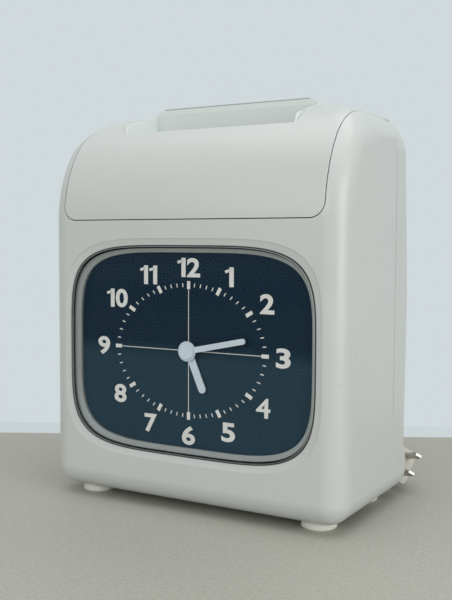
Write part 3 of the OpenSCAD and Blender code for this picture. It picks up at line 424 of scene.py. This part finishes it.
core_iron = Finish("core_iron", roughness=0.5, metallic=0.4)
layers = Sock.node(
    core_iron.tree, "ShaderNodeTexWave", {"bands_direction": "Y"},
    {"Vector": core_iron.place, "Scale": 0.62, "Distortion": 0.3, "Detail": 2.0},
)
core_iron.set(base_color=layers.ramp((0.2, (0.05, 0.045, 0.04)), (0.8, (0.16, 0.14, 0.11))))
core_iron.bump(layers, 0.4, 0.1)
print("dial fades over:", FADE_SPAN, "mm")

# %% [markdown]
# ## Window glass
# A flat clear pane lets the dial through and adds only a mirror image that grows at a grazing look. A
# metallic white mirror whose opacity is the Fresnel share does exactly that, and lets the light through. The
# edge and the flange of the pane are frosted, so they look plain grey.

# %% Clear pane
clear_pane = Finish("clear_pane", base_color=(1, 1, 1), metallic=1.0, roughness=0.04)
clear_pane.set(alpha=Sock.node(clear_pane.tree, "ShaderNodeFresnel", {}, {"IOR": 1.12}))

pane_rim = Finish("pane_rim", roughness=0.45)
pane_rim.set(base_color=pane_rim.noise(3.0).ramp((0.3, (0.36, 0.39, 0.39)), (0.7, (0.40, 0.43, 0.43))))

# %% [markdown]
# ## Table and wall
# The table has a fine speckle. Past its far edge line it turns pale, so that the picture keeps that line and
# the coil still lies on the table. The wall is brighter for the camera and for mirror images than as light.

# %% Table and wall
table_top = Finish("table_top", roughness=0.6)
across, along = -math.sin(EDGE_TURN), math.cos(EDGE_TURN)
edge_reach = across * EDGE_SPOT[0] + along * (FRONT + EDGE_SPOT[1])
reach = table_top.place.axis("X") * across + table_top.place.axis("Y") * along
beige = table_top.noise(2.2, 4).ramp((0.35, (0.390, 0.385, 0.335)), (0.65, (0.450, 0.445, 0.393)))
table_top.set(base_color=reach.above(edge_reach).mix(beige, (0.70, 0.77, 0.79)))
table.data.materials.append(table_top.material)

world.use_nodes = True
sky = world.node_tree
path = sky.nodes.new("ShaderNodeLightPath")
rays = [Sock(sky, path.outputs[f"Is {kind} Ray"]) for kind in ("Camera", "Glossy", "Transmission")]
seen = rays[0] + rays[1] + rays[2]
backdrop = sky.nodes["Background"]
sky.links.new(seen.mix((0.47, 0.475, 0.475), (0.63, 0.69, 0.71)).socket, backdrop.inputs[0])
print("table turns pale past:", round(edge_reach, 1), "mm")

# %% [markdown]
# ## The mains cord
# The plug shows behind the right rear corner, so the lead is there too: it leaves a strain relief low on the
# back, drops to the table, lies in a neat coil behind the case, and runs on to the plug. It is one curve
# along the CAD route, so its length can be measured.

# %% Cord route
CORD = 6.4
lead_points = [
    (50, 143.5, 30), (50, 151, 30), (50, 158.6, 28.5), (50, 166, 25), (50, 174, 20.2),
    (50, 182, 15.7), (50, 190, 12.1), (50, 198, 10.5),
]
tail_points = [
    (29.8, 169.6, 3.4), (37.3, 169.2, 3.4), (44.5, 166.9, 3.4), (50.9, 163.1, 3.5), (57.8, 158.2, 4.3),
]
coil_start = (50, 206, 10.5)
plug_at = (94, 127, 15.8)
PLUG_LIFT, PLUG_TURN = -14, -41
PLUG_LEN, PLUG_BOOT = 26, 14
COIL_TURNS, COIL_IN, COIL_STEP, COIL_SOFT = 6.8, 25.6, 7.1, 0.02
TURN_POINTS, TABLE_GAP = 24, 0.2


def coil_radius(turn):
    """The upper layer winds inwards and the lower one outwards, with a soft change between them."""
    from_middle = math.sqrt((turn - COIL_TURNS / 2) ** 2 + COIL_SOFT) - math.sqrt(COIL_SOFT)
    return COIL_IN + COIL_STEP * from_middle


def coil_height(turn):
    """The cord goes down from the upper layer to the lower one over half a turn."""
    t = min(1, max(0, 2 * (turn - COIL_TURNS / 2) + 0.5))
    return CORD / 2 + TABLE_GAP + COIL_STEP * (1 - t * t * (3 - 2 * t))


coil_mid = (coil_start[0] - coil_radius(0), coil_start[1] + CORD)
coil_points = []
coil_steps = math.ceil(COIL_TURNS * TURN_POINTS)
for step in range(coil_steps + 1):
    turn = COIL_TURNS * step / coil_steps
    angle = 2 * math.pi * turn
    coil_points.append((
        coil_mid[0] + coil_radius(turn) * math.cos(angle),
        coil_mid[1] + coil_radius(turn) * math.sin(angle),
        coil_height(turn),
    ))
last = 2 * math.pi * COIL_TURNS
end_x, end_depth, end_z = coil_points[-1]
coil_end = (end_x - CORD * math.sin(last), end_depth + CORD * math.cos(last), end_z)
lift, turned = math.radians(PLUG_LIFT), math.radians(PLUG_TURN)
plug_axis = (math.cos(lift) * math.cos(turned), math.cos(lift) * math.sin(turned), -math.sin(lift))
plug_back = tuple(p - (PLUG_LEN + PLUG_BOOT) * a for p, a in zip(plug_at, plug_axis))
route = [*lead_points, coil_start, *coil_points, coil_end, *tail_points, plug_back]

# %% Cord as one curve
bpy.ops.curve.primitive_nurbs_path_add()
cord = named("mains_cord")
cord.data.splines.clear()
line = cord.data.splines.new("POLY")
line.points.add(len(route) - 1)
for point, spot in zip(line.points, route):
    point.co = (*at(*spot), 1)
cord.data.bevel_depth = CORD / 2 * MM
cord.data.bevel_resolution = 6
cord.data.use_fill_caps = True
line.use_smooth = True
dress(cord, "case", cord_ivory.material, "cord_ivory", "cord_lead", "cord_coil", "cord_tail")
print("cord points:", len(line.points))

# %% [markdown]
# ## The case as one smooth form
# The real covers are injection moulded: one soft box, cut along thin parting lines into a case, a hood and a
# rear cover. A convex hull over balls gives that box, because every edge of it is a rolled round. The balls
# follow the CAD model's, with more facets, so the shells sit where the solids are. Two things differ, because
# the photograph shows them so: the bottom edge at the back is as tight as the one in front, and the sides
# draw in a little further towards the rear seam.

# %% Body form
HALF_W, BODY_D, BODY_H, WALL, FOOT_H = 103.5, 125, 248, 2.5, 5
EDGE_R, REAR_R, TOP_R, CROWN_R, WAIST = 14, 20, 34, 28, 1.5
CURVE_D, CURVE_H = 58, 70
BACK_STEP, KINK_RISE = 8, 105
balls = [
    (EDGE_R, FOOT_H + EDGE_R, EDGE_R, 0),
    (BODY_D - EDGE_R - BACK_STEP, FOOT_H + EDGE_R, EDGE_R, 0),
    (BODY_D - REAR_R, FOOT_H + REAR_R + KINK_RISE, REAR_R, 0),
    (BODY_D - CROWN_R, BODY_H - CROWN_R, CROWN_R, 0),
]
BROW_STEPS = 24
for step in range(BROW_STEPS + 1):
    tilt = math.pi / 2 * step / BROW_STEPS
    radius = EDGE_R + (TOP_R - EDGE_R) * max(0, 2 * step / BROW_STEPS - 1)
    back, up = CURVE_H * math.cos(tilt), CURVE_D * math.sin(tilt)
    steep = math.hypot(back, up)
    balls.append((
        CURVE_D * (1 - math.cos(tilt)) + radius * back / steep,
        BODY_H - CURVE_H * (1 - math.sin(tilt)) - radius * up / steep,
        radius,
        math.atan2(back, up),
    ))


def body_hull(name, inset=0, narrow=0):
    """The body's form; a ball on the brow turns its pole outwards, so that neighbours line up."""
    spheres = []
    for depth, z, radius, pole in balls:
        for side in (-1, 1):
            bpy.ops.mesh.primitive_uv_sphere_add(
                segments=64, ring_count=32, radius=(radius - inset) * MM, rotation=(pole, 0, 0),
                location=at(side * (HALF_W - narrow - radius), depth, z),
            )
            spheres.append(bpy.context.object)
    for sphere in spheres:
        sphere.select_set(True)
    bpy.ops.object.join()
    hull = settle(named(name))
    return edit(hull, lambda: bpy.ops.mesh.convex_hull(join_triangles=False), outward)


def copy_of(obj, name):
    only(obj)
    bpy.ops.object.duplicate()
    return named(name)


outside, inside = body_hull("outside"), body_hull("inside", WALL)
print("body form:", len(outside.data.polygons), "faces")

# %% [markdown]
# ## Cutting tools
# The parting lines, the window and the scoop are cut with simple solids: a slab, a rod, a prism with two
# rounded edges, and a plug lofted through the window's bowed outline. WIDE, DEEP and TALL reach past the
# case, so that a cut leaves no skin.


# %% Slab, rod, prism and loft
WIDE, DEEP, TALL = (-140, 140), (-5, 140), (-10, 320)


def slab(name, xs, ds, zs):
    bpy.ops.mesh.primitive_cube_add(size=1, location=at(sum(xs) / 2, sum(ds) / 2, sum(zs) / 2))
    box = named(name)
    box.scale = [(high - low) * MM for low, high in (xs, ds, zs)]
    return settle(box)


def rod(name, axis, radius, span, centre, points=64):
    """Cylinder along an axis; centre gives the two other places in the order across, depth, height."""
    place = list(centre)
    place.insert("XYZ".index(axis), sum(span) / 2)
    turn = {"X": (0, math.pi / 2, 0), "Y": (math.pi / 2, 0, 0), "Z": (0, 0, 0)}[axis]
    bpy.ops.mesh.primitive_cylinder_add(
        vertices=points, radius=radius * MM, depth=(span[1] - span[0]) * MM,
        location=at(*place), rotation=turn,
    )
    return settle(named(name))


def pick_edges(obj, test):
    """Enter edit mode with only the edges selected whose two ends pass the test."""
    edit(obj, lambda: bpy.ops.mesh.select_all(action="DESELECT"))
    bpy.context.tool_settings.mesh_select_mode = (False, True, False)
    points = obj.data.vertices
    for edge in obj.data.edges:
        edge.select = test(*(points[i].co for i in edge.vertices))
    bpy.ops.object.mode_set(mode="EDIT")


HOOD_HALF, HOOD_Z, HOOD_CORNER, PARTING = 91, 179.2, 9, 0.6


def hood_prism(name, grow, ds):
    half, low = HOOD_HALF + grow, HOOD_Z - grow
    prism = slab(name, (-half, half), ds, (low, TALL[1]))
    middle = low * MM + 0.001
    pick_edges(prism, lambda a, b: a.z < middle and b.z < middle and abs(a.x - b.x) < 1e-6)
    bpy.ops.mesh.bevel(offset=(HOOD_CORNER + grow) * MM, segments=20, affect="EDGES")
    bpy.ops.object.mode_set(mode="OBJECT")
    return prism


def loft(name, sections, points):
    """Closed tube through sections, each a function from an angle to a place in metres."""
    bpy.ops.mesh.primitive_circle_add(vertices=points, radius=1, fill_type="NGON")
    tube = named(name)
    one_up = {"value": (0, 0, 1)}
    extrude = [lambda: bpy.ops.mesh.extrude_region_move(TRANSFORM_OT_translate=one_up)]
    edit(tube, *extrude * (len(sections) - 1))
    for vertex in tube.data.vertices:
        x, y, level = vertex.co
        vertex.co = sections[round(level)](math.atan2(y, x))
    return edit(tube, outward)


SQUARENESS, RING_POINTS = 4.5, 288


def bowed(width, height, depth):
    """Section of the window: a squarish round whose sides bow out."""
    def place(angle):
        c, s = math.cos(angle), math.sin(angle)
        x = math.copysign(abs(c) ** (2 / SQUARENESS), c) * width / 2
        z = math.copysign(abs(s) ** (2 / SQUARENESS), s) * height / 2
        return at(x, depth, DIAL_Z + z)
    return place


def bowed_loft(name, *rings):
    return loft(name, [bowed(*ring) for ring in rings], RING_POINTS)


# %% [markdown]
# ## Front case
# The case keeps everything below the hood and ahead of the rear seam. It is hollow, with the bosses that
# carry the dial, the chassis and the rear screws left standing, and the window is cut with its narrow bevel.
# Towards the seam the sides draw in, down to the round arc that bounds the base.

# %% Front case
SEAM, WAIST_D = 85, 45
SKIRT, SKIRT_R, SKIRT_POINTS = (26, -17), 92, 256
BEVEL_OUT, BEVEL_IN, BEVEL_STEP, BEVEL_D = (181.6, 136.4), (173.6, 128.4), 0.3, 1.0
BOSS_R, BOSS_X, BOSS_ZS, BOSS_D = 4.5, HALF_W - 8.5, (62, 159.2), 65
DIAL_BOSS, DIAL_BOSS_R, DIAL_BACK = (86.3, 62), 4, 7.5
POST_X, POST_DS, POST_R, POST_TOP = 70.5, (46, 92), 4, FOOT_H + 7
FOOT_X, FOOT_DS, FOOT_STEM_R, FOOT_STEM_ZS = 80.5, (21.5, 87.5), 4.05, (0, 12)
LOCK, LOCK_R, LOCK_REACH = (60, 200.2), 8.05, 6


def screw_bosses(tool, ds):
    for side in (-1, 1):
        for z in BOSS_ZS:
            carve(tool, rod("boss", "Y", BOSS_R, ds, (side * BOSS_X, z)))
            rib_xs = sorted((side * BOSS_X, side * (HALF_W - WALL / 2)))
            carve(tool, slab("boss_rib", rib_xs, ds, (z - BOSS_R / 2, z + BOSS_R / 2)))


front_shell, cavity = copy_of(outside, "front_shell"), copy_of(inside, "case_cavity")
for side in (-1, 1):
    for up in (-1, 1):
        boss_at = (side * DIAL_BOSS[0], DIAL_Z + up * DIAL_BOSS[1])
        carve(cavity, rod("dial_boss", "Y", DIAL_BOSS_R, (WALL / 2, DIAL_BACK), boss_at))
    for depth in POST_DS:
        post_zs = (FOOT_H + WALL / 2, POST_TOP)
        carve(cavity, rod("chassis_post", "Z", POST_R, post_zs, (side * POST_X, depth)))
screw_bosses(cavity, (BOSS_D, SEAM + 1))
carve(front_shell, cavity)
behind = slab("behind_seam", WIDE, (SEAM, DEEP[1]), TALL)
carve(behind, rod("skirt_arc", "X", SKIRT_R, WIDE, SKIRT, SKIRT_POINTS))
carve(front_shell, behind)
carve(front_shell, hood_prism("hood_opening", PARTING, DEEP))
bevel = (*BEVEL_OUT, -1), (*BEVEL_OUT, BEVEL_STEP), (*BEVEL_IN, BEVEL_D), (*BEVEL_IN, 4)
carve(front_shell, bowed_loft("window_cut", *bevel))
carve(front_shell, rod("lock_hole", "X", LOCK_R, (-HALF_W - 1, -HALF_W + LOCK_REACH), LOCK))
for side in (-1, 1):
    waist = slab("waist", sorted((side * HALF_W, side * (HALF_W + 5))), (WAIST_D, SEAM + 1), (0, TALL[1]))
    for vertex in waist.data.vertices:
        if vertex.co.y > 0 and abs(vertex.co.x) < (HALF_W + 1) * MM:
            vertex.co.x = side * (HALF_W - WAIST) * MM
    carve(waist, rod("waist_arc", "X", SKIRT_R, WIDE, SKIRT, SKIRT_POINTS))
    carve(front_shell, waist)
    for depth in FOOT_DS:
        carve(front_shell, rod("foot_hole", "Z", FOOT_STEM_R, FOOT_STEM_ZS, (side * FOOT_X, depth)))
dress(smooth(front_shell), "case", ivory.material, "case_ivory", "front_case")
print("front case:", len(front_shell.data.polygons), "faces")

# %% [markdown]
# ## Rear cover
# The cover is a little narrower than the case, as the drawn-in sides are at the seam. It has the hinge
# ledge, the screw tubes, the keyholes for a wall, and the boss that the cord leaves through.

# %% Rear cover
KEYHOLE_X, KEYHOLE_Z, KEYHOLE_RISE = 60, 165.2, 10
KEYHOLE_R, KEYWAY_R = 5, 2.5
SCREW_HOLE_R, SCREW_WELL_R, SCREW_SEAT = 1.7, 2.9, 106
RELIEF, RELIEF_HOLE_R, RELIEF_PAD_R = (50, 30), 5.05, 8
RELIEF_PAD_D, RELIEF_PAD_T = 119.5, 6
HINGE_D, LEDGE_HALF, LEDGE_ZS = 97.5, 62, (236.5, 239)
REAR_EDGE_D = HINGE_D + 4.7
BACK = BODY_D + 4

rear_shell = body_hull("rear_shell", narrow=WAIST)
cavity = body_hull("rear_cavity", WALL, WAIST)
carve(cavity, slab("hinge_ledge", (-LEDGE_HALF, LEDGE_HALF), (REAR_EDGE_D, BACK), LEDGE_ZS))
screw_bosses(cavity, (SEAM, BACK))
carve(rear_shell, cavity)
relief_pad = rod("relief_pad", "Y", RELIEF_PAD_R, (RELIEF_PAD_D - RELIEF_PAD_T, RELIEF_PAD_D), RELIEF)
carve(rear_shell, relief_pad, "UNION")
carve(rear_shell, slab("ahead_of_seam", WIDE, (DEEP[0], SEAM + PARTING), TALL))
carve(rear_shell, rod("skirt_gap", "X", SKIRT_R + PARTING, WIDE, SKIRT, SKIRT_POINTS))
carve(rear_shell, hood_prism("hood_gap", PARTING, (DEEP[0], REAR_EDGE_D)))
carve(rear_shell, rod("relief_hole", "Y", RELIEF_HOLE_R, (BODY_D - 20, BACK), RELIEF))
through_back, keyway_top = (BODY_D - 6.5, BACK), KEYHOLE_Z + KEYHOLE_RISE
for side in (-1, 1):
    for z in BOSS_ZS:
        carve(rear_shell, rod("screw_hole", "Y", SCREW_HOLE_R, (SEAM - 5, BACK), (side * BOSS_X, z)))
        carve(rear_shell, rod("screw_well", "Y", SCREW_WELL_R, (SCREW_SEAT, BACK), (side * BOSS_X, z)))
    x = side * KEYHOLE_X
    carve(rear_shell, rod("keyhole", "Y", KEYHOLE_R, through_back, (x, KEYHOLE_Z)))
    carve(rear_shell, rod("keyhole_top", "Y", KEYWAY_R, through_back, (x, keyway_top)))
    carve(rear_shell, slab("keyway", (x - KEYWAY_R, x + KEYWAY_R), through_back, (KEYHOLE_Z, keyway_top)))
dress(smooth(rear_shell), "case", ivory.material, "case_ivory", "rear_cover")
print("rear cover:", len(rear_shell.data.polygons), "faces")

# %% [markdown]
# ## Hood
# The hood is the upper part of the same form. A scoop in its top leads a card down into the slot, the back
# of the middle is cut away for the hinge, and a hook inside the left wall is what the lock's cam catches.

# %% Hood
SCOOP_HALF, SCOOP_BACK, SCOOP_Z = 62, 63, 235
SLOT_HALF, SLOT_DS, SLOT_CUT = 45, (55.4, 60.8), 4
EAR_D = HINGE_D + 3.3
HOOK_XS, HOOK_Z, HOOK_ARM_H = (-91.8, -89.8), 190.2, 5
HOOK_BAR_DS, HOOK_ARM_DS = (36, 41), (40.9, 52)
HINGE_CUT_HALF, HINGE_CUT_D = 60.5, HINGE_D - 3.5

hood_shell, cavity = copy_of(outside, "hood_shell"), copy_of(inside, "hood_cavity")
carve(hood_shell, hood_prism("hood_outline", 0, (DEEP[0], EAR_D)), "INTERSECT")
box_half, box_ds = SCOOP_HALF + WALL, (DEEP[0], SCOOP_BACK + WALL)
carve(cavity, slab("scoop_box", (-box_half, box_half), box_ds, (SCOOP_Z - WALL, TALL[1])))
carve(cavity, slab("hook_bar", HOOK_XS, HOOK_BAR_DS, (HOOK_Z, TALL[1])))
carve(cavity, slab("hook_arm", HOOK_XS, HOOK_ARM_DS, (HOOK_Z, HOOK_Z + HOOK_ARM_H)))
carve(hood_shell, cavity)
carve(hood_shell, slab("scoop", (-SCOOP_HALF, SCOOP_HALF), (DEEP[0], SCOOP_BACK), (SCOOP_Z, TALL[1])))
carve(hood_shell, slab("slot", (-SLOT_HALF, SLOT_HALF), SLOT_DS, (SCOOP_Z - SLOT_CUT, TALL[1])))
hinge_cut_xs = (-HINGE_CUT_HALF, HINGE_CUT_HALF)
carve(hood_shell, slab("hinge_cut", hinge_cut_xs, (HINGE_CUT_D, BACK), (HOOD_Z, TALL[1])))
dress(smooth(hood_shell), "hood", ivory.material, "case_ivory", "top_cover")
for pattern in (outside, inside):
    bpy.data.objects.remove(pattern)
print("hood:", len(hood_shell.data.polygons), "faces")

# %% [markdown]
# ## Window
# Inside the bevel lies a thin dark seal round the clear pane, whose flange is hidden behind the case, and
# behind the pane a grey ring whose lip slopes in to the dial. They share the window's bowed outline, so each
# is a loft through a few sections of width, height and depth, and a ring is one loft cut out of another.

# %% Pane, seal and inner ring
lens = bowed_loft(
    "window_pane", (171.4, 126.2, 0.4), (171.8, 126.6, 0.6), (171.8, 126.6, 2.5), (178, 132.8, 2.5),
    (178, 132.8, 3.6), (169.8, 124.6, 3.6), (169.8, 124.6, 2.2),
)
dress(smooth(lens), "case", clear_pane.material, "clear_lens", "window_lens")
lens.data.materials.append(pane_rim.material)
CLEAR_AREA = 0.01
for face in lens.data.polygons:
    face.material_index = 0 if abs(face.normal.y) > 0.99 and face.area > CLEAR_AREA else 1

seal = bowed_loft("window_seal", (173.3, 128.1, 0.95), (173.56, 128.36, 1.1), (173.56, 128.36, 2.48))
carve(seal, bowed_loft("seal_hole", (171.84, 126.64, 0.5), (171.84, 126.64, 3)))
dress(smooth(seal), "case", seal_black.material, "seal_black", "lens_seal")

bezel = bowed_loft("dial_ring", (178, 132.8, 3.6), (178, 132.8, 7.5))
carve(bezel, bowed_loft("ring_hole", (172.4, 127.2, 2.6), (164.6, 119.4, 5.6), (164.6, 119.4, 9)))
dress(smooth(bezel), "case", bezel_grey.material, "bezel_grey", "dial_bezel")
print("window pieces:", [piece.name for piece in (lens, seal, bezel)])

# %% [markdown]
# ## Dial print
# The dial carries twelve bold numerals, sixty minute marks on an oval track, and a fine cross. The numerals
# are text made into mesh, digit by digit, because the dial's digits are wider than the font's and its 1 has
# a flag. A mark is a thin plate, turned to its ray and set on the track by one loop.

# %% Numerals
PRINT_D, PRINT_T, PRINT_X = 7.46, 0.1, -0.9
DIGIT_W, ONE_W, DIGIT_H, DIGIT_GAP = 9.4, 3.0, 11.7, 0.9
DIGIT_WEIGHT, FOUR_WEIGHT = 0.36, 0.2
FLAG, FLAG_LAP, FLAG_IN, FLAG_DROP, FLAG_TILT = (3.6, 1.7), 0.6, 0.7, 2.3, math.radians(-16)
numeral_places = {
    12: (0, 50.6), 1: (28.4, 45.4), 2: (53.6, 30.4), 3: (64.2, -0.4), 4: (51.4, -30.4), 5: (28, -47.2),
    6: (0, -52.1), 7: (-28, -47.2), 8: (-51.4, -30.4), 9: (-64.2, -0.4), 10: (-53.6, 30.4),
    11: (-29.4, 45.6),
}
printed = []


def extent(obj):
    """Lowest and highest place of a mesh along each axis."""
    places = [vertex.co for vertex in obj.data.vertices]
    return [(min(p[i] for p in places), max(p[i] for p in places)) for i in range(3)]


def flat_plate(name, place, size, clock_angle):
    """Thin printed plate, width by height, turned clockwise on the dial."""
    bpy.ops.mesh.primitive_cube_add(size=1, location=place, rotation=(0, clock_angle, 0))
    plate = named(name)
    plate.scale = (size[0] * MM, PRINT_T * MM, size[1] * MM)
    printed.append(settle(plate))
    return plate


def digit(letter):
    """One bold digit as mesh, of the dial's own width and height, its lower left at the origin."""
    bpy.ops.object.text_add(rotation=(math.pi / 2, 0, 0))
    glyph = named(f"digit_{letter}")
    text = glyph.data
    text.body, text.size, text.resolution_u = letter, DIGIT_H * MM, 6
    text.offset = (FOUR_WEIGHT if letter == "4" else DIGIT_WEIGHT) * MM
    text.extrude = PRINT_T / 2 * MM
    only(glyph)
    bpy.ops.object.convert(target="MESH")
    settle(glyph)
    (left, right), _, (low, high) = extent(glyph)
    wide = ONE_W if letter == "1" else DIGIT_W
    widen, heighten = wide * MM / (right - left), DIGIT_H * MM / (high - low)
    glyph.location = (-left * widen, 0, -low * heighten)
    glyph.scale = (widen, 1, heighten)
    return settle(glyph), wide


def write_numeral(hour, x, z):
    made = [digit(letter) for letter in str(hour)]
    leads = [FLAG[0] - FLAG_LAP if letter == "1" else 0 for letter in str(hour)]
    total = sum(wide for _, wide in made) + sum(leads) + DIGIT_GAP * (len(made) - 1)
    pen = PRINT_X + x - total / 2
    for (glyph, wide), lead in zip(made, leads):
        pen += lead
        only(glyph)
        bpy.ops.transform.translate(value=at(pen, PRINT_D, DIAL_Z + z - DIGIT_H / 2))
        printed.append(settle(glyph))
        if lead:
            place = at(pen - FLAG[0] / 2 + FLAG_IN, PRINT_D, DIAL_Z + z + DIGIT_H / 2 - FLAG_DROP)
            flat_plate("flag", place, FLAG, FLAG_TILT)
        pen += wide + DIGIT_GAP


for hour, (x, z) in numeral_places.items():
    write_numeral(hour, x, z)
print("numerals:", len(numeral_places), "in", len(printed), "pieces")

# %% Minute track and cross
TRACK = (52.5, 40)
MINUTE_MARK, HOUR_MARK = (2.3, 0.62), (4.8, 2.3)
CROSS_START, CROSS_W = 4.5, 0.42


def mark(name, clock_angle, reach, long, wide):
    """Thin plate along the ray at a clock angle, with its middle at a reach from the dial's centre."""
    x, z = reach * math.sin(clock_angle), reach * math.cos(clock_angle)
    flat_plate(name, at(PRINT_X + x, PRINT_D, DIAL_Z + z), (wide, long), clock_angle)


for minute in range(60):
    ray = math.radians(6 * minute)
    track = 1 / math.hypot(math.sin(ray) / TRACK[0], math.cos(ray) / TRACK[1])
    long, wide = MINUTE_MARK if minute % 5 else HOUR_MARK
    mark(f"mark_{minute}", ray, track, long, wide)
    if minute % 15 == 0:
        end = track - long / 2
        mark(f"cross_{minute}", ray, (CROSS_START + end) / 2, end - CROSS_START, CROSS_W)

only(printed[0])
for piece in printed:
    piece.select_set(True)
bpy.ops.object.join()
dial_print = named("dial_print")
dress(dial_print, "case", dial_white.material, "hand_paint")
print("dial print:", len(dial_print.data.polygons), "faces")

# %% [markdown]
# ## Boss of the hands
# The hands meet under a round boss with a low rim, all in the hands' pale paint. It is a tube lofted through
# rings about the dial's centre, and it turns with the minute hand.

# %% Boss of the hands
BOSS_PROFILE = [
    (4.3, 2.7), (4.9, 2.85), (5.2, 3.2), (5.2, 3.7), (5.9, 3.72), (6.1, 3.85), (6.1, 4.55), (5.9, 4.7),
]
ROUND_POINTS, SOFT_DEGREES = 64, 40


def ring_at(x, z):
    """Round sections about a line through the dial or the back: each takes a radius and a depth."""
    def section(radius, depth):
        return lambda angle: at(x + radius * math.cos(angle), depth, z + radius * math.sin(angle))
    return section


boss_ring = ring_at(0, DIAL_Z)
boss = loft("hand_boss", [boss_ring(*pair) for pair in BOSS_PROFILE], ROUND_POINTS)
dress(smooth(boss, SOFT_DEGREES), "minute", hand_paint.material, "hand_paint", "hand_cap")
print("boss of the hands:", len(boss.data.polygons), "faces")

# %% [markdown]
# ## Strain relief and tie
# The cord leaves the back through a soft ribbed boot that tapers, so the lead bends gently. The boot is a
# tube lofted through rings, each a radius and a depth. The cord's coil is held by a flat strap with a
# buckle, as such a recorder is packed.

# %% Strain relief
BOOT_START, BOOT_END, BOOT_R, BOOT_TAPER = 121.5, 143.5, 5.6, 1.6
RIBS, FIRST_GROOVE, RIB_STEP = 7, 123.4, 2.6
GROOVE = [(0, 0), (0.8, 0.2), (0.85, 1.0), (0.1, 1.2)]


def boot_radius(depth):
    return BOOT_R - BOOT_TAPER * (depth - BOOT_START) / (BOOT_END - BOOT_START)


profile = [
    (5, 111.5), (5, RELIEF_PAD_D), (7.1, RELIEF_PAD_D), (7.5, 119.9), (7.5, 121.1), (7.1, BOOT_START),
    (BOOT_R, BOOT_START),
]
for rib in range(RIBS):
    groove = FIRST_GROOVE + RIB_STEP * rib
    profile += [(boot_radius(groove) - sunk, groove + along_boot) for sunk, along_boot in GROOVE]
profile += [(boot_radius(143), 143), (boot_radius(BOOT_END) - 0.3, BOOT_END)]

boot_ring = ring_at(*RELIEF)
boot = loft("cord_boot", [boot_ring(*pair) for pair in profile], 48)
dress(smooth(boot, SOFT_DEGREES), "case", cord_ivory.material, "cord_ivory", "cord_relief")
print("boot ribs:", RIBS)

# %% Coil tie
TIE_HALF, TIE_NEAR, TIE_FAR = 3.5, coil_mid[0] - 22.1, coil_mid[0] - 50.2
STRAP, STRAP_ZS, STRAP_HOLE_ZS = 0.6, (0.03, 14.4), (0.17, 13.8)
BUCKLE_XS, BUCKLE_HALF, BUCKLE_ZS = (coil_mid[0] - 40, coil_mid[0] - 32), 4.8, (14.1, 16.0)


def strap_loop(name, grow, half, zs, corner):
    """Slab round the coil's turns on one side, with rounded corners."""
    loop = slab(name, (TIE_FAR - grow, TIE_NEAR + grow), (coil_mid[1] - half, coil_mid[1] + half), zs)
    pick_edges(loop, lambda a, b: abs(a.y - b.y) > 0.001)
    bpy.ops.mesh.bevel(offset=corner * MM, segments=6, affect="EDGES")
    bpy.ops.object.mode_set(mode="OBJECT")
    return loop


tie = strap_loop("coil_tie", STRAP, TIE_HALF, STRAP_ZS, 3.0)
carve(tie, strap_loop("tie_hole", 0, TIE_HALF + 1, STRAP_HOLE_ZS, 2.6))
buckle_ds = (coil_mid[1] - BUCKLE_HALF, coil_mid[1] + BUCKLE_HALF)
buckle = slab("buckle", BUCKLE_XS, buckle_ds, BUCKLE_ZS)
apply(buckle, "BEVEL", width=0.6 * MM, segments=3)
carve(tie, buckle, "UNION")
dress(smooth(tie), "case", black_plastic.material, "black_plastic")
print("tie:", len(tie.data.polygons), "faces")

# %% [markdown]
# ## Finishes of the solids
# Every other piece keeps its CAD shape and takes the finish of its slot.

# %% Finish every CAD piece
finishes = {
    "case_ivory": ivory, "guide_grey": guide_grey, "foot_cream": foot_cream, "clear_lens": clear_pane,
    "seal_black": seal_black, "bezel_grey": bezel_grey, "dial_navy": dial_navy, "hand_paint": hand_paint,
    "steel": steel, "sheet_zinc": sheet_zinc, "brass": brass, "gear_plastic": gear_plastic,
    "roller_rubber": roller_rubber, "black_plastic": black_plastic, "panel_grey": panel_grey,
    "button_blue": button_blue, "board_green": board_green, "core_iron": core_iron,
    "cord_ivory": cord_ivory, "blade_nickel": blade_nickel,
}
for part in frame["record"]["subparts"]:
    mesh = nodes[part["node"]].data
    mesh.materials.clear()
    mesh.materials.append(finishes[part["material_slot"]].material)

at(50, 143.5, 30)
